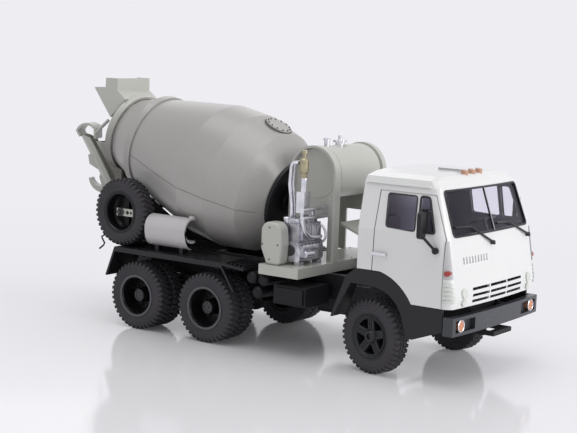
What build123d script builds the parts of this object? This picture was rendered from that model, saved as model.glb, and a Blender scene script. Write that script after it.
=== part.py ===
"""Concrete mixer truck, a 1:43 display model of a three-axle forward-control truck.

Millimetres. X runs forward, Y to the truck's left, Z up, and the floor is Z = 0.
Inside this file X = 0 is the front axle. Each finished piece is moved along X by
middle_shift, so that the model's origin lies under the middle of the truck.
"""
from build123d import *

import os
from math import atan2, cos, radians, sin, sqrt, tan

os.makedirs("parts", exist_ok=True)

# Wheels and axles
wheel_r = 11.8
tyre_w = 6.0
tyre_bore_r = 7.03
rim_r = 7.0
rim_wall = 0.8
front_to_middle = 66.05
bogie_base = 30.7
front_wheel_y = 24.0
twin_outer_y = 25.6
twin_gap = 0.9
shaft_r = 1.3
running_gap = 0.06
steer_rest = -10.2
kingpin_y = 17.5
steer_arm = 6.5

middle_x = -front_to_middle
rear_x = middle_x - bogie_base
twin_inner_y = twin_outer_y - tyre_w - twin_gap

# Frame
rail_y = 10.0
rail_z = 18.2
rail_h = 5.2
rail_t = 0.8
rail_flange = 2.6
frame_front = 24.0
frame_rear = -121.0
sub_h = 2.7
sub_front = -22.0
rail_top = rail_z + rail_h
deck_z = rail_top + sub_h
boss_front_x = 13.5
boss_rear_x = -113.5
boss_r = 2.6
boss_hole_r = 1.1
boss_hole_depth = 6.0
boss_z = 12.5
tow_half = 6.0
tow_z = 13.6

# Cab
cab_rear = -6.7
cab_half = 28.3
cab_roof = 63.3
cab_bottom = 24.3
cab_arch_top = 33.0
cab_wall = 0.9
glass_t = 0.5
screen_top_z = 59.2
screen_foot_z = 45.3
screen_top_half = 23.4
screen_foot_half = 24.5
bumper_front = 29.3
bumper_z = 16.3
bumper_h = 5.7
bumper_t = 2.2
tow_reach = 30.6

# Drum, measured along its axis from the point over X = drum_ref_x, positive to the rear
drum_ref_x = -55.0
drum_ref_z = 48.44
drum_tilt = 13.94
drum_front_s = -3.9
drum_front_r = 14.0
drum_dome_s = 4.4
drum_dome_r = 21.4
drum_wide_s = 16.2
drum_wide_r = 24.3
drum_rear_s = 28.5
drum_rear_r = 24.1
band_s = 58.4
band_r = 17.2
band_w = 2.6
mouth_s = 70.2
mouth_r = 13.4

# Platform, engine and water tank
platform_front = -29.3
platform_rear = -45.0
platform_half = 27.0
platform_top = 29.4
sheet_t = 0.8
tank_x = -38.5
tank_z = 58.4
tank_r = 8.9
tank_near = -5.0
tank_far = 22.0

# Rear end
fender_half = 28.6
fender_in = 14.4
fender_top = 28.0
fender_front = -59.3
fender_rear = -107.3
chute_axis_x = -128.0
chute_yaw = 25.0
chute_foot_d = 7.1
chute_foot_z = 44.1
chute_head_d = 18.9
chute_head_z = 65.6
chute_half = 4.0
chute_depth = 3.8
chute_wall = 0.7

# The model's ends give the shift that puts the origin in its middle
chute_reach = chute_head_d * cos(radians(chute_yaw)) + chute_half * sin(radians(chute_yaw))
middle_shift = (chute_reach - chute_axis_x - tow_reach) / 2


def keep(part, name):
    """Moves a finished piece from the front axle's frame to the model's frame and writes it."""
    piece = part.moved(Location((middle_shift, 0, 0)))
    piece.label = name
    export_step(piece, f"parts/{name}.step")


def box(x0, x1, y0, y1, z0, z1, mode=Mode.ADD):
    """A block between two corners, added to the open part."""
    with Locations(((x0 + x1) / 2, (y0 + y1) / 2, (z0 + z1) / 2)):
        Box(abs(x1 - x0), abs(y1 - y0), abs(z1 - z0), mode=mode)


def rod(p0, p1, r, mode=Mode.ADD):
    """A round rod between two points, added to the open part."""
    a, b = Vector(*p0), Vector(*p1)
    with Locations(Plane(origin=a, z_dir=b - a)):
        Cylinder(r, (b - a).length, align=(Align.CENTER, Align.CENTER, Align.MIN), mode=mode)


# Chassis frame: two channel rails, cross members, the mixer's subframe on top, the tow fork in front
# and two bosses for the base screws
with BuildPart() as chassis_frame:
    for side in (-1, 1):
        box(frame_rear, frame_front, side * rail_y, side * (rail_y - rail_t), rail_z, rail_top)
        for z in (rail_z, rail_top - rail_t):
            box(frame_rear, frame_front, side * rail_y, side * (rail_y - rail_flange), z, z + rail_t)
    for x in (frame_front - 2, boss_front_x, -20.0, -48.0, middle_x - bogie_base / 2, boss_rear_x,
              frame_rear + 1):
        box(x - 1, x + 1, -rail_y + rail_t, rail_y - rail_t, rail_z, rail_top)
    for x in (boss_front_x, boss_rear_x):
        rod((x, 0, boss_z), (x, 0, rail_z), boss_r)
        rod((x, 0, boss_z), (x, 0, boss_z + boss_hole_depth), boss_hole_r, Mode.SUBTRACT)
    for side in (-1, 1):
        box(frame_front - 4, tow_reach - 2, side * tow_half, side * (tow_half - 1.2), tow_z, tow_z + 1.4)
        box(frame_front - 4, frame_front - 1, side * tow_half, side * (tow_half - 1.2), tow_z, rail_z)
    box(tow_reach - 2, tow_reach, -tow_half, tow_half, tow_z, tow_z + 1.4)
    box(frame_front - 3, frame_front - 1, -tow_half, tow_half, rail_z, rail_z + 2)
    for side in (-1, 1):
        box(frame_rear, sub_front, side * rail_y, side * (rail_y - rail_flange), rail_top, deck_z)
    for x in (sub_front - 1, -56.0, -84.0, frame_rear + 1):
        box(x - 1, x + 1, -rail_y + rail_flange, rail_y - rail_flange, rail_top, deck_z)
keep(chassis_frame.part, "chassis_frame")

# Front axle: a beam with an eye at each end, and leaf springs over it
beam_half_x = 1.5
beam_z0, beam_z1 = wheel_r - 1.3, wheel_r + 1.3
eye_r = 1.7
eye_half = 1.8
kingpin_r = 0.7
with BuildPart() as front_axle_beam:
    box(-beam_half_x, beam_half_x, -kingpin_y, kingpin_y, beam_z0, beam_z1)
    for side in (-1, 1):
        rod((0, side * kingpin_y, wheel_r - eye_half), (0, side * kingpin_y, wheel_r + eye_half), eye_r)
    for side in (-1, 1):
        rod((0, side * kingpin_y, 0), (0, side * kingpin_y, 2 * wheel_r), kingpin_r + running_gap, Mode.SUBTRACT)
keep(front_axle_beam.part, "front_axle_beam")

spring_half = 15.0
leaf_t = 0.6
leaf_w = 2.6
spring_rise = 2.6


def leaf(half, z_mid, rise, t):
    """The outline of one curved leaf: two arcs and the two short ends between them."""
    low = Edge.make_three_point_arc((-half, z_mid + rise), (0, z_mid), (half, z_mid + rise))
    high = Edge.make_three_point_arc((half, z_mid + rise + t), (0, z_mid + t), (-half, z_mid + rise + t))
    return [low, Edge.make_line(low @ 1, high @ 0), high, Edge.make_line(high @ 1, low @ 0)]


with BuildPart() as front_springs:
    with BuildSketch(Plane.XZ.offset(rail_y - leaf_w)):
        for i, share in enumerate((0.5, 0.75, 1.0)):
            make_face(leaf(spring_half * share, beam_z1 + i * leaf_t, spring_rise * share ** 2, leaf_t * 1.02))
    extrude(amount=leaf_w)
    for side in (-1, 1):
        box(side * spring_half - 1, side * spring_half + 1, -rail_y, -rail_y + leaf_w,
            beam_z1 + 2 * leaf_t + spring_rise - 0.2, rail_z)
    mirror(about=Plane.XZ)
keep(front_springs.part, "front_springs")

# Steering knuckles: a yoke over the beam's eye, its kingpin, the stub axle and the steering arm
yoke_z = eye_half + 0.1
ear_t = 1.2
web_y = kingpin_y + eye_r + 0.3
stub_r = 1.2
stub_end = front_wheel_y + 1.8
arm_z = wheel_r - yoke_z - ear_t
arm_t = 0.8
pin_r = 0.5
pin_top = arm_z + 2 * arm_t + 0.4
with BuildPart() as knuckle:
    for z in (wheel_r + yoke_z, wheel_r - yoke_z - ear_t):
        box(-1.6, 1.6, -kingpin_y + 1.6, -web_y, z, z + ear_t)
    box(-1.6, 1.6, -web_y, -web_y - 1.1, wheel_r - yoke_z - ear_t, wheel_r + yoke_z + ear_t)
    rod((0, -kingpin_y, wheel_r - yoke_z), (0, -kingpin_y, wheel_r + yoke_z), kingpin_r)
    rod((0, -web_y - 1.0, wheel_r), (0, -stub_end, wheel_r), stub_r)
    box(-steer_arm, 0, -kingpin_y - 0.9, -kingpin_y + 0.9, arm_z, arm_z + arm_t)
    rod((-steer_arm, -kingpin_y, arm_z), (-steer_arm, -kingpin_y, arm_z + arm_t), 0.9)
    rod((-steer_arm, -kingpin_y, arm_z), (-steer_arm, -kingpin_y, pin_top), pin_r)
turn = Axis((0, -kingpin_y, 0), (0, 0, 1))
turn_left = Axis((0, kingpin_y, 0), (0, 0, 1))
keep(knuckle.part.rotate(turn, steer_rest), "knuckle_right")
keep(knuckle.part.mirror(Plane.XZ).rotate(turn_left, steer_rest), "knuckle_left")

tie_x = -steer_arm * cos(radians(steer_rest))
tie_shift = -steer_arm * sin(radians(steer_rest))
with BuildPart() as tie_rod:
    z0 = arm_z + arm_t + 0.05
    box(tie_x - 0.4, tie_x + 0.4, -kingpin_y + tie_shift, kingpin_y + tie_shift, z0, z0 + arm_t)
    for side in (-1, 1):
        y = side * kingpin_y + tie_shift
        rod((tie_x, y, z0), (tie_x, y, z0 + arm_t), 1.0)
    for side in (-1, 1):
        y = side * kingpin_y + tie_shift
        rod((tie_x, y, z0 - 1), (tie_x, y, z0 + 2), pin_r + running_gap, Mode.SUBTRACT)
keep(tie_rod.part, "tie_rod")

# Tyres: one cross-section turned about the axle
tyre_section = [(2.55, tyre_bore_r), (3.0, 9.3), (2.9, 10.9), (2.45, wheel_r)]
with BuildPart() as tyre:
    with BuildSketch(Plane.YZ):
        with BuildLine():
            Polyline(*tyre_section, *[(-y, r) for y, r in reversed(tyre_section)], close=True)
        make_face()
    revolve(axis=Axis.Y)

# Front rims: a barrel, a pierced disc near the outer face and the hub sleeve
hole_count = 5
disc_y = 1.2
disc_t = 0.9
hub_r = 2.3
with BuildPart() as front_rim:
    with BuildSketch(Plane.YZ):
        with BuildLine():
            Polyline((2.45, rim_r), (2.45, rim_r - rim_wall), (-1.9, rim_r - rim_wall), (-disc_y, 5.6),
                     (-disc_y, hub_r), (2.2, hub_r), (2.2, stub_r + running_gap), (-2.0, stub_r + running_gap),
                     (-2.0, 0), (-3.1, 0), (-3.1, 1.6), (-disc_y - disc_t, 2.2), (-disc_y - disc_t, 5.8),
                     (-2.7, rim_r - rim_wall), (-3.0, rim_r - rim_wall), (-3.0, rim_r + 0.4),
                     (-2.6, rim_r + 0.4), (-2.6, rim_r), close=True)
        make_face()
    revolve(axis=Axis.Y)
    with BuildSketch(Plane.XZ):
        with PolarLocations(4.1, hole_count, start_angle=90):
            RegularPolygon(1.35, 3, rotation=0)
    extrude(amount=10, mode=Mode.SUBTRACT)

front_hub = Location((0, -front_wheel_y, wheel_r))
right_tyre = tyre.part.moved(front_hub).rotate(turn, steer_rest)
right_rim = front_rim.part.moved(front_hub).rotate(turn, steer_rest)
left_tyre = tyre.part.moved(front_hub).mirror(Plane.XZ).rotate(turn_left, steer_rest)
left_rim = front_rim.part.moved(front_hub).mirror(Plane.XZ).rotate(turn_left, steer_rest)
keep(right_tyre, "front_right_tyre")
keep(right_rim, "front_right_rim")
keep(left_tyre, "front_left_tyre")
keep(left_rim, "front_left_rim")

# Twin rear wheels: both rims of each side and the axle shaft are one turned piece
face_y = twin_outer_y - tyre_w / 2 - twin_gap / 2
hub_end = twin_outer_y + 0.9
with BuildPart() as wheelset:
    for side in (-1, 1):
        with BuildSketch(Plane.YZ) as half:
            with BuildLine():
                Polyline((0, 0), (0, shaft_r), (side * (face_y - 0.5), shaft_r),
                         (side * (face_y - 0.5), rim_r - rim_wall),
                         (side * (twin_inner_y - 2.5), rim_r - rim_wall),
                         (side * (twin_inner_y - 2.5), rim_r), (side * (twin_outer_y + 2.6), rim_r),
                         (side * (twin_outer_y + 2.6), rim_r + 0.45),
                         (side * (twin_outer_y + 3.0), rim_r + 0.45),
                         (side * (twin_outer_y + 3.0), rim_r - 0.5),
                         (side * (twin_outer_y + 2.4), rim_r - rim_wall),
                         (side * (face_y + 0.5), rim_r - rim_wall - 0.3), (side * (face_y + 0.5), 2.9),
                         (side * (hub_end - 1.3), 2.5), (side * hub_end, 2.0), (side * hub_end, 0), close=True)
            make_face()
        revolve(half.sketch, axis=Axis.Y)

twin_places = [(0, side * y, 0) for side in (-1, 1) for y in (twin_inner_y, twin_outer_y)]
with BuildPart() as twin_tyres:
    with Locations(*twin_places):
        add(tyre.part)
for name, x in (("middle", middle_x), ("rear", rear_x)):
    place = Location((x, 0, wheel_r))
    keep(wheelset.part.moved(place), f"{name}_rims")
    keep(twin_tyres.part.moved(place), f"{name}_tyres")

# Driven axle housings: a tube round the shaft and a round gear casing
housing_half = 14.6
tube_r = 2.2
casing_r = 4.4
with BuildPart() as axle_housing:
    with BuildSketch(Plane.YZ):
        with BuildLine():
            casing_half = sqrt(casing_r ** 2 - tube_r ** 2)
            Line((-housing_half, shaft_r + 0.15), (-housing_half, tube_r))
            Line((-housing_half, tube_r), (-casing_half, tube_r))
            ThreePointArc((-casing_half, tube_r), (0, casing_r), (casing_half, tube_r))
            Line((casing_half, tube_r), (housing_half, tube_r))
            Line((housing_half, tube_r), (housing_half, shaft_r + 0.15))
            Line((housing_half, shaft_r + 0.15), (-housing_half, shaft_r + 0.15))
        make_face()
    revolve(axis=Axis.Y)
for name, x in (("middle", middle_x), ("rear", rear_x)):
    keep(axle_housing.part.moved(Location((x, 0, wheel_r))), f"{name}_axle_housing")

# Rear suspension: a leaf pack on each side lies on both axle tubes and turns on a cross tube
bogie_x = (middle_x + rear_x) / 2
pack_in, pack_out = 11.1, 13.5
pack_z = wheel_r + tube_r
pack_rise = 1.5
with BuildPart() as rear_suspension:
    for side in (-1, 1):
        with BuildSketch(Plane.XZ.offset(-side * (pack_in + pack_out) / 2)):
            with BuildLine():
                reach = bogie_base / 2 + 1.5
                low = ThreePointArc((bogie_x - reach, pack_z), (bogie_x, pack_z + pack_rise),
                                    (bogie_x + reach, pack_z))
                Line(low @ 1, (bogie_x + reach, pack_z + 0.8))
                high = ThreePointArc((bogie_x + reach, pack_z + 0.8), (bogie_x, pack_z + pack_rise + 2.4),
                                     (bogie_x - reach, pack_z + 0.8))
                Line(high @ 1, low @ 0)
            make_face()
        extrude(amount=(pack_out - pack_in) / 2, both=True)
        box(bogie_x - 2.2, bogie_x + 2.2, side * rail_y, side * pack_in, pack_z, rail_z + 2.5)
    rod((bogie_x, -pack_in, pack_z + 2.0), (bogie_x, pack_in, pack_z + 2.0), 1.3)
keep(rear_suspension.part, "rear_suspension")

# Gearbox under the frame and the shafts to the two driven axles
gearbox_front, gearbox_rear = -14.0, -36.0
prop_r = 1.0
block_front, block_half, block_top_z = 7.4, 6.4, 28.4
head_h = 2.0
sump_half, sump_z = 4.6, 15.2
fan_z, fan_r = 23.4, 5.0
with BuildPart() as gearbox:
    with BuildSketch(Plane.YZ.offset(gearbox_front)):
        with Locations((0, (wheel_r + rail_z) / 2)):
            RectangleRounded(10, rail_z - wheel_r, 1.5)
    extrude(amount=gearbox_rear - gearbox_front)
    box(-21, -19, -5, 5, wheel_r + 2, rail_z)
    rod((gearbox_rear, 0, wheel_r + 2.0), (gearbox_rear - 2.5, 0, wheel_r + 2.0), 2.0)
    rod((gearbox_rear, 0, wheel_r + 2.0), (middle_x + casing_r + 0.2, 0, wheel_r), prop_r)
    rod((middle_x - casing_r - 0.2, 0, wheel_r), (rear_x + casing_r + 0.2, 0, wheel_r), prop_r)
    # The truck's own engine stands in front of the gearbox between the rails, its lugs on their flanges
    box(gearbox_front, block_front, -block_half, block_half, rail_z, block_top_z)
    with BuildSketch(Plane.YZ.offset(gearbox_front)):
        with Locations((0, block_top_z + head_h / 2 - 0.1)):
            Trapezoid(2 * block_half - 2.4, head_h, 72)
    extrude(amount=block_front - gearbox_front - 1.2)
    box(gearbox_front, block_front - 1.4, -sump_half, sump_half, sump_z, rail_z)
    rod((block_front, 0, fan_z), (block_front + 2.2, 0, fan_z), 1.6)
    rod((block_front + 1.4, 0, fan_z), (block_front + 2.0, 0, fan_z), fan_r)
    for side in (-1, 1):
        for x in (gearbox_front + 3.0, block_front - 5.0):
            box(x, x + 2.6, side * sump_half, side * (rail_y - rail_flange), rail_top - rail_t, rail_top)
keep(gearbox.part, "driveline")

# Cab: plan sections from the sill to the roof
cab_bow = 1.2
roof_z = 60.0
rear_corner = 1.0
cab_sections = [
    # height, front at the middle, half width, front corner radius
    (cab_bottom, 28.2, 28.2, 3.0),
    (28.0, 28.6, cab_half, 3.0),
    (screen_foot_z + 0.5, 25.7, 28.2, 3.2),
    (59.6, 20.9, 25.4, 1.6),
    (61.7, 18.8, 24.2, 1.6),
    (62.7, 17.6, 19.5, 2.0),
    (cab_roof, 13.5, 13.0, 2.0),
]


def cab_body(inset, drop=0.0):
    """The cab's closed body with every face moved inwards by inset, and its foot lowered by drop."""
    with BuildPart() as body:
        for height, front, half, corner in cab_sections:
            z = height - inset if height > roof_z else height
            z = z - drop if height == cab_bottom else z
            nose, edge, back = front - inset, half - inset, cab_rear + inset
            with BuildSketch(Plane.XY.offset(z)) as plan:
                with BuildLine():
                    Polyline((nose - cab_bow, edge), (back, edge), (back, -edge), (nose - cab_bow, -edge))
                    ThreePointArc((nose - cab_bow, -edge), (nose, 0), (nose - cab_bow, edge))
                make_face()
                fillet(plan.vertices().group_by(Axis.X)[-1], max(corner - inset, 0.4))
                fillet(plan.vertices().group_by(Axis.X)[0], max(rear_corner - inset, 0.1))
        loft(ruled=True)
    return body.part


def skin(outer, inner):
    """The part of the cab's wall that lies between two insets."""
    with BuildPart() as layer:
        add(cab_body(outer))
        add(cab_body(inner, drop=2.0), mode=Mode.SUBTRACT)
    return layer.part


arch_flat_x = 2.1
arch_foot_x = 13.6
screen_cut = [(-screen_foot_half, screen_foot_z), (screen_foot_half, screen_foot_z),
              (screen_top_half, screen_top_z), (-screen_top_half, screen_top_z)]
door_glass = [(3.4, 47.0), (13.6, 46.5), (13.0, 57.0), (2.8, 57.1)]
quarter_glass = [(14.7, 46.5), (20.6, 46.6), (17.3, 57.0), (14.2, 57.1)]
slot_rows = [(29.4, 0.85), (27.5, 0.85), (25.7, 0.85)]
slot_edge, slot_split, slot_bar = 16.2, 5.6, 0.7
door_line = [(-1.3, 20.0), (-0.2, 57.9), (19.4, 57.9), (24.2, 45.3), (24.2, 20.0)]
seam_w, seam_depth = 0.3, 0.35
vent_count, vent_y0, vent_pitch, vent_w = 9, -20.2, 1.7, 0.8
vent_z0, vent_z1 = 37.2, 39.2
rail_drip_z0, rail_drip_z1 = 59.7, 60.3


def window_prism(points, grow, r, plane, length):
    """A rounded window outline, grown by a margin, extruded both ways through the wall."""
    with BuildPart() as prism:
        with BuildSketch(plane) as cut:
            with BuildLine():
                Polyline(*points, close=True)
            make_face()
            offset(amount=grow)
            fillet(cut.vertices(), r)
        extrude(amount=length)
    return prism.part


def screen_prism(grow, r=1.4):
    return window_prism(screen_cut, grow, r, Plane.YZ.offset(15), 20)


def side_prism(points, grow, r=0.8):
    return window_prism(points, grow, r, Plane.XZ.offset(-32), 64)


with BuildPart() as cab_shell:
    add(skin(0, cab_wall))
    with BuildSketch(Plane.XZ.offset(-40)):
        with BuildLine():
            Polyline((arch_foot_x, cab_bottom), (arch_foot_x, cab_bottom - 5), (cab_rear - 5, cab_bottom - 5),
                     (cab_rear - 5, cab_arch_top), (arch_flat_x, cab_arch_top))
            ThreePointArc((arch_flat_x, cab_arch_top), (9.6, 29.2), (arch_foot_x, cab_bottom))
        make_face()
    extrude(amount=80, mode=Mode.SUBTRACT)
    add(screen_prism(0), mode=Mode.SUBTRACT)
    add(side_prism(door_glass, 0), mode=Mode.SUBTRACT)
    add(side_prism(quarter_glass, 0), mode=Mode.SUBTRACT)
    for z, h in slot_rows:
        for y0, y1 in ((-slot_edge, -slot_split - slot_bar / 2),
                       (-slot_split + slot_bar / 2, slot_split - slot_bar / 2),
                       (slot_split + slot_bar / 2, slot_edge)):
            box(24, 32, y0, y1, z - h / 2, z + h / 2, Mode.SUBTRACT)
    with BuildPart(mode=Mode.PRIVATE) as grooves:
        add(skin(-0.1, seam_depth))
        with BuildPart(mode=Mode.PRIVATE) as groove_cuts:
            with BuildSketch(Plane.XZ.offset(-40)):
                with BuildLine():
                    Polyline(*door_line, close=True)
                make_face()
                offset(amount=-seam_w, kind=Kind.INTERSECTION, mode=Mode.SUBTRACT)
            extrude(amount=80)
            for i in range(vent_count):
                y = vent_y0 + i * vent_pitch
                box(22, 32, y, y + vent_w, vent_z0, vent_z1)
        add(groove_cuts.part, mode=Mode.INTERSECT)
    add(grooves.part, mode=Mode.SUBTRACT)
    with BuildPart(mode=Mode.PRIVATE) as drip_rail:
        add(skin(-0.5, 0.3))
        with BuildPart(mode=Mode.PRIVATE) as rail_blocks:
            for side in (-1, 1):
                box(cab_rear + 1.2, 17.0, side * 20, side * 32, rail_drip_z0, rail_drip_z1)
        add(rail_blocks.part, mode=Mode.INTERSECT)
    add(drip_rail.part)
keep(cab_shell.part, "cab_shell")

glass_out = 0.2
with BuildPart() as windscreen:
    add(skin(glass_out, glass_out + glass_t))
    add(screen_prism(0), mode=Mode.INTERSECT)
keep(windscreen.part, "windscreen")

with BuildPart() as side_windows:
    add(skin(glass_out, glass_out + glass_t))
    add(side_prism(door_glass, 0) + side_prism(quarter_glass, 0), mode=Mode.INTERSECT)
keep(side_windows.part, "side_windows")



def front_x(y, z):
    """The X of the cab's front at a height and a distance from the middle."""
    for (z0, x0, *_), (z1, x1, *_) in zip(cab_sections, cab_sections[1:]):
        if z0 <= z <= z1:
            return x0 + (x1 - x0) * (z - z0) / (z1 - z0) - cab_bow * (y / cab_half) ** 2


trim_w = 0.6
bar_half = 0.4
wiper_r = 0.35
wipers = [
    # pivot's y and z, the arm's bend, the blade's tip
    ((-2.5, 42.3), (-13.8, 47.9), (-23.0, 48.4)),
    ((23.6, 42.3), (10.5, 47.4), (2.2, 47.7)),
]
with BuildPart() as windscreen_trim:
    add(skin(-0.25, glass_out))
    with BuildPart(mode=Mode.PRIVATE) as trim_prisms:
        add(screen_prism(0) - screen_prism(-trim_w, 1.0))
        box(18, 34, -bar_half, bar_half, screen_foot_z + 0.2, screen_top_z - 0.2)
    add(trim_prisms.part, mode=Mode.INTERSECT)
    with BuildPart(mode=Mode.PRIVATE) as pivots:
        add(skin(-1.2, 0))
        with BuildPart(mode=Mode.PRIVATE) as pivot_rods:
            for (y, z), bend, tip in wipers:
                rod((22, y, z), (32, y, z), 0.7)
        add(pivot_rods.part, mode=Mode.INTERSECT)
    add(pivots.part)
    for (y0, z0), (y1, z1), (y2, z2) in wipers:
        bend = (front_x(y1, z1) + 0.35, y1, z1)
        rod((front_x(y0, z0) + 0.9, y0, z0), bend, wiper_r)
        rod(bend, (front_x(y2, z2) + 0.35, y2, z2), wiper_r)
keep(windscreen_trim.part, "windscreen_trim")

# Cab inside: floor pan, two seats, the engine tunnel, the dashboard and the steering wheel
inner_half = cab_half - cab_wall - 0.5
floor_t = 1.0
floor_z = cab_arch_top + 0.3
with BuildPart() as cab_interior:
    with BuildSketch(Plane.XZ.offset(-inner_half)):
        with BuildLine():
            low = [(cab_rear + 1.2, floor_z), (arch_flat_x + 1, floor_z), (arch_foot_x - 1.5, cab_bottom + 5.5),
                   (arch_foot_x + 0.6, cab_bottom + 0.4), (25.6, cab_bottom + 0.4)]
            Polyline(*low, *[(x, z + floor_t) for x, z in reversed(low)], close=True)
        make_face()
    extrude(amount=2 * inner_half)
    for y in (-15.0, 15.0):
        box(-3.5, 5.5, y - 6, y + 6, floor_z + floor_t, floor_z + 5)
        box(-5.2, -3.0, y - 6, y + 6, floor_z + floor_t, floor_z + 15)
    box(-4.5, 10, -7, 7, floor_z + floor_t, floor_z + 4.5)
    box(20.5, 23.3, -inner_half + 1.5, inner_half - 1.5, 38.0, screen_foot_z - 0.6)
    for side in (-1, 1):
        box(21.0, 22.8, side * (inner_half - 2.5), side * (inner_half - 1.5), cab_bottom + 1.4, 38.5)
keep(cab_interior.part, "cab_interior")

wheel_centre = (14.5, 14.5, 46.6)
with BuildPart() as steering_wheel:
    axis_dir = Vector(-0.35, 0, 1)
    with Locations(Plane(origin=wheel_centre, z_dir=axis_dir)):
        Cylinder(5.0, 0.8)
        Cylinder(4.3, 0.8, mode=Mode.SUBTRACT)
        Cylinder(1.0, 0.8)
        for turn_z in (0, 120, 240):
            with Locations(Location((0, 0, 0), (0, 0, turn_z))):
                Box(4.5, 0.7, 0.5, align=(Align.MIN, Align.CENTER, Align.CENTER))
    rod(wheel_centre, Vector(*wheel_centre) + axis_dir * (cab_bottom + 1.7 - wheel_centre[2]), 0.6)
keep(steering_wheel.part, "steering_wheel")

# Front fenders: arch band along the cab's lower edge, panel with step ahead of the wheel and flap behind it
panel_y = cab_half - 0.8
step_z = 13.6
flap_x = -15.4
panel_front = 24.6
with BuildPart() as front_fenders:
    with BuildSketch(Plane.XZ.offset(panel_y)) as arch:
        with BuildLine():
            Polyline((cab_rear, cab_arch_top - 0.2), (arch_flat_x, cab_arch_top - 0.2))
            ThreePointArc((arch_flat_x, cab_arch_top - 0.2), (9.6, 29.0), (arch_foot_x, cab_bottom - 0.2))
            Polyline((arch_foot_x, cab_bottom - 0.2), (panel_front, cab_bottom - 0.2),
                     (panel_front, bumper_z + 1.0),
                     (arch_foot_x + 1, step_z), (arch_foot_x - 1.0, step_z), (10.6, 19.6))
            ThreePointArc((10.6, 19.6), (6.6, 25.4), (0, 27.9))
            Polyline((0, 27.9), (cab_rear - 1.5, 28.2), (flap_x + 0.9, 16.6), (flap_x, 16.6),
                     (cab_rear - 3.4, 30.2), (cab_rear, cab_arch_top - 0.2))
        make_face()
    extrude(amount=0.8)
    with BuildSketch(Plane.XZ.offset(20.8)) as crown:
        with BuildLine():
            Polyline((cab_rear, cab_arch_top - 0.2), (arch_flat_x, cab_arch_top - 0.2),
                     (arch_flat_x, cab_arch_top - 1.0), (cab_rear - 0.3, cab_arch_top - 1.0),
                     (cab_rear - 2.6, 29.6), (flap_x + 0.9, 16.6),
                     (flap_x, 16.6), (cab_rear - 3.4, 30.2), close=True)
        make_face()
    extrude(amount=cab_half - 20.8)
    with BuildSketch(Plane.XZ.offset(20.8)) as front_crown:
        with BuildLine():
            ThreePointArc((arch_flat_x, cab_arch_top - 0.2), (9.6, 29.0), (arch_foot_x, cab_bottom - 0.2))
            Line((arch_foot_x, cab_bottom - 0.2), (arch_foot_x - 0.9, cab_bottom - 0.2))
            ThreePointArc((arch_foot_x - 0.9, cab_bottom - 0.2), (9.0, 28.4), (arch_flat_x, cab_arch_top - 1.0))
            Line((arch_flat_x, cab_arch_top - 1.0), (arch_flat_x, cab_arch_top - 0.2))
        make_face()
    extrude(amount=cab_half - 20.8)
    box(arch_foot_x + 3, 24.0, -panel_y, -panel_y + 3.2, step_z + 3.4, step_z + 4.2)
    mirror(about=Plane.XZ)
keep(front_fenders.part, "front_fenders")

# Bumper: a bowed channel with lamp pockets and short returns at its ends
bumper_bow = 1.0
bumper_return = 3.4
pocket_y0, pocket_y1 = 15.5, 26.6
pocket_h = 3.6
lamp_y = 23.4
bumper_mid = bumper_z + bumper_h / 2
with BuildPart() as bumper:
    with BuildSketch(Plane.XY.offset(bumper_z)):
        with BuildLine():
            end = bumper_front - bumper_bow
            ThreePointArc((end, -cab_half), (bumper_front, 0), (end, cab_half))
            Polyline((end, cab_half), (end - bumper_return, cab_half), (end - bumper_return, cab_half - 1.2),
                     (end - bumper_t, cab_half - 1.2))
            ThreePointArc((end - bumper_t, cab_half - 1.2), (bumper_front - bumper_t, 0),
                          (end - bumper_t, -cab_half + 1.2))
            Polyline((end - bumper_t, -cab_half + 1.2), (end - bumper_return, -cab_half + 1.2),
                     (end - bumper_return, -cab_half), (end, -cab_half))
        make_face()
    extrude(amount=bumper_h)
    for side in (-1, 1):
        box(bumper_front - 2.0, bumper_front + 1, side * pocket_y0, side * pocket_y1,
            bumper_mid - pocket_h / 2, bumper_mid + pocket_h / 2, Mode.SUBTRACT)
        box(frame_front, bumper_front - bumper_t - 0.2, side * 9.6, side * 7.8, rail_z + 0.4, rail_z + 3.4)
keep(bumper.part, "bumper")

with BuildPart() as bumper_lamps:
    for side in (-1, 1):
        rod((bumper_front - 2.0, side * lamp_y, bumper_mid), (bumper_front - 0.9, side * lamp_y, bumper_mid),
            1.7)
keep(bumper_lamps.part, "bumper_lamps")

# Corner deflectors, corner lamps, round lamps, marker lamps and handles all follow the cab's skin
deflector_x = 24.3
deflector_y = 26.6
deflector_z0, deflector_z1 = 33.4, 44.6
deflector_t = 0.35


def corner_blocks(z0, z1):
    """A block round each front corner of the cab, between two heights."""
    with BuildPart() as blocks:
        for side in (-1, 1):
            box(deflector_x, 32, side * deflector_y, side * 32, z0, z1)
    return blocks.part


with BuildPart() as corner_deflectors:
    add(skin(-deflector_t, 0))
    add(corner_blocks(deflector_z0, deflector_z1), mode=Mode.INTERSECT)
keep(corner_deflectors.part, "corner_deflectors")

rib_count = 5
rib_z0, rib_z1 = 26.2, 32.6
rib_pitch = (rib_z1 - rib_z0) / rib_count
with BuildPart() as corner_lamps:
    add(skin(-deflector_t, 0))
    with BuildPart(mode=Mode.PRIVATE) as rib_blocks:
        for i in range(rib_count):
            add(corner_blocks(rib_z0 + i * rib_pitch, rib_z0 + i * rib_pitch + 0.7 * rib_pitch))
    add(rib_blocks.part, mode=Mode.INTERSECT)
keep(corner_lamps.part, "corner_lamps")

round_lamps = [
    # y, z, radius
    (21.3, 28.7, 1.5),
    (21.3, 25.8, 1.1),
]
with BuildPart() as front_lamps:
    add(skin(-0.5, 0))
    with BuildPart(mode=Mode.PRIVATE) as lamp_rods:
        for side in (-1, 1):
            for y, z, r in round_lamps:
                rod((24, side * y, z), (32, side * y, z), r)
    add(lamp_rods.part, mode=Mode.INTERSECT)
keep(front_lamps.part, "front_lamps")

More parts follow.
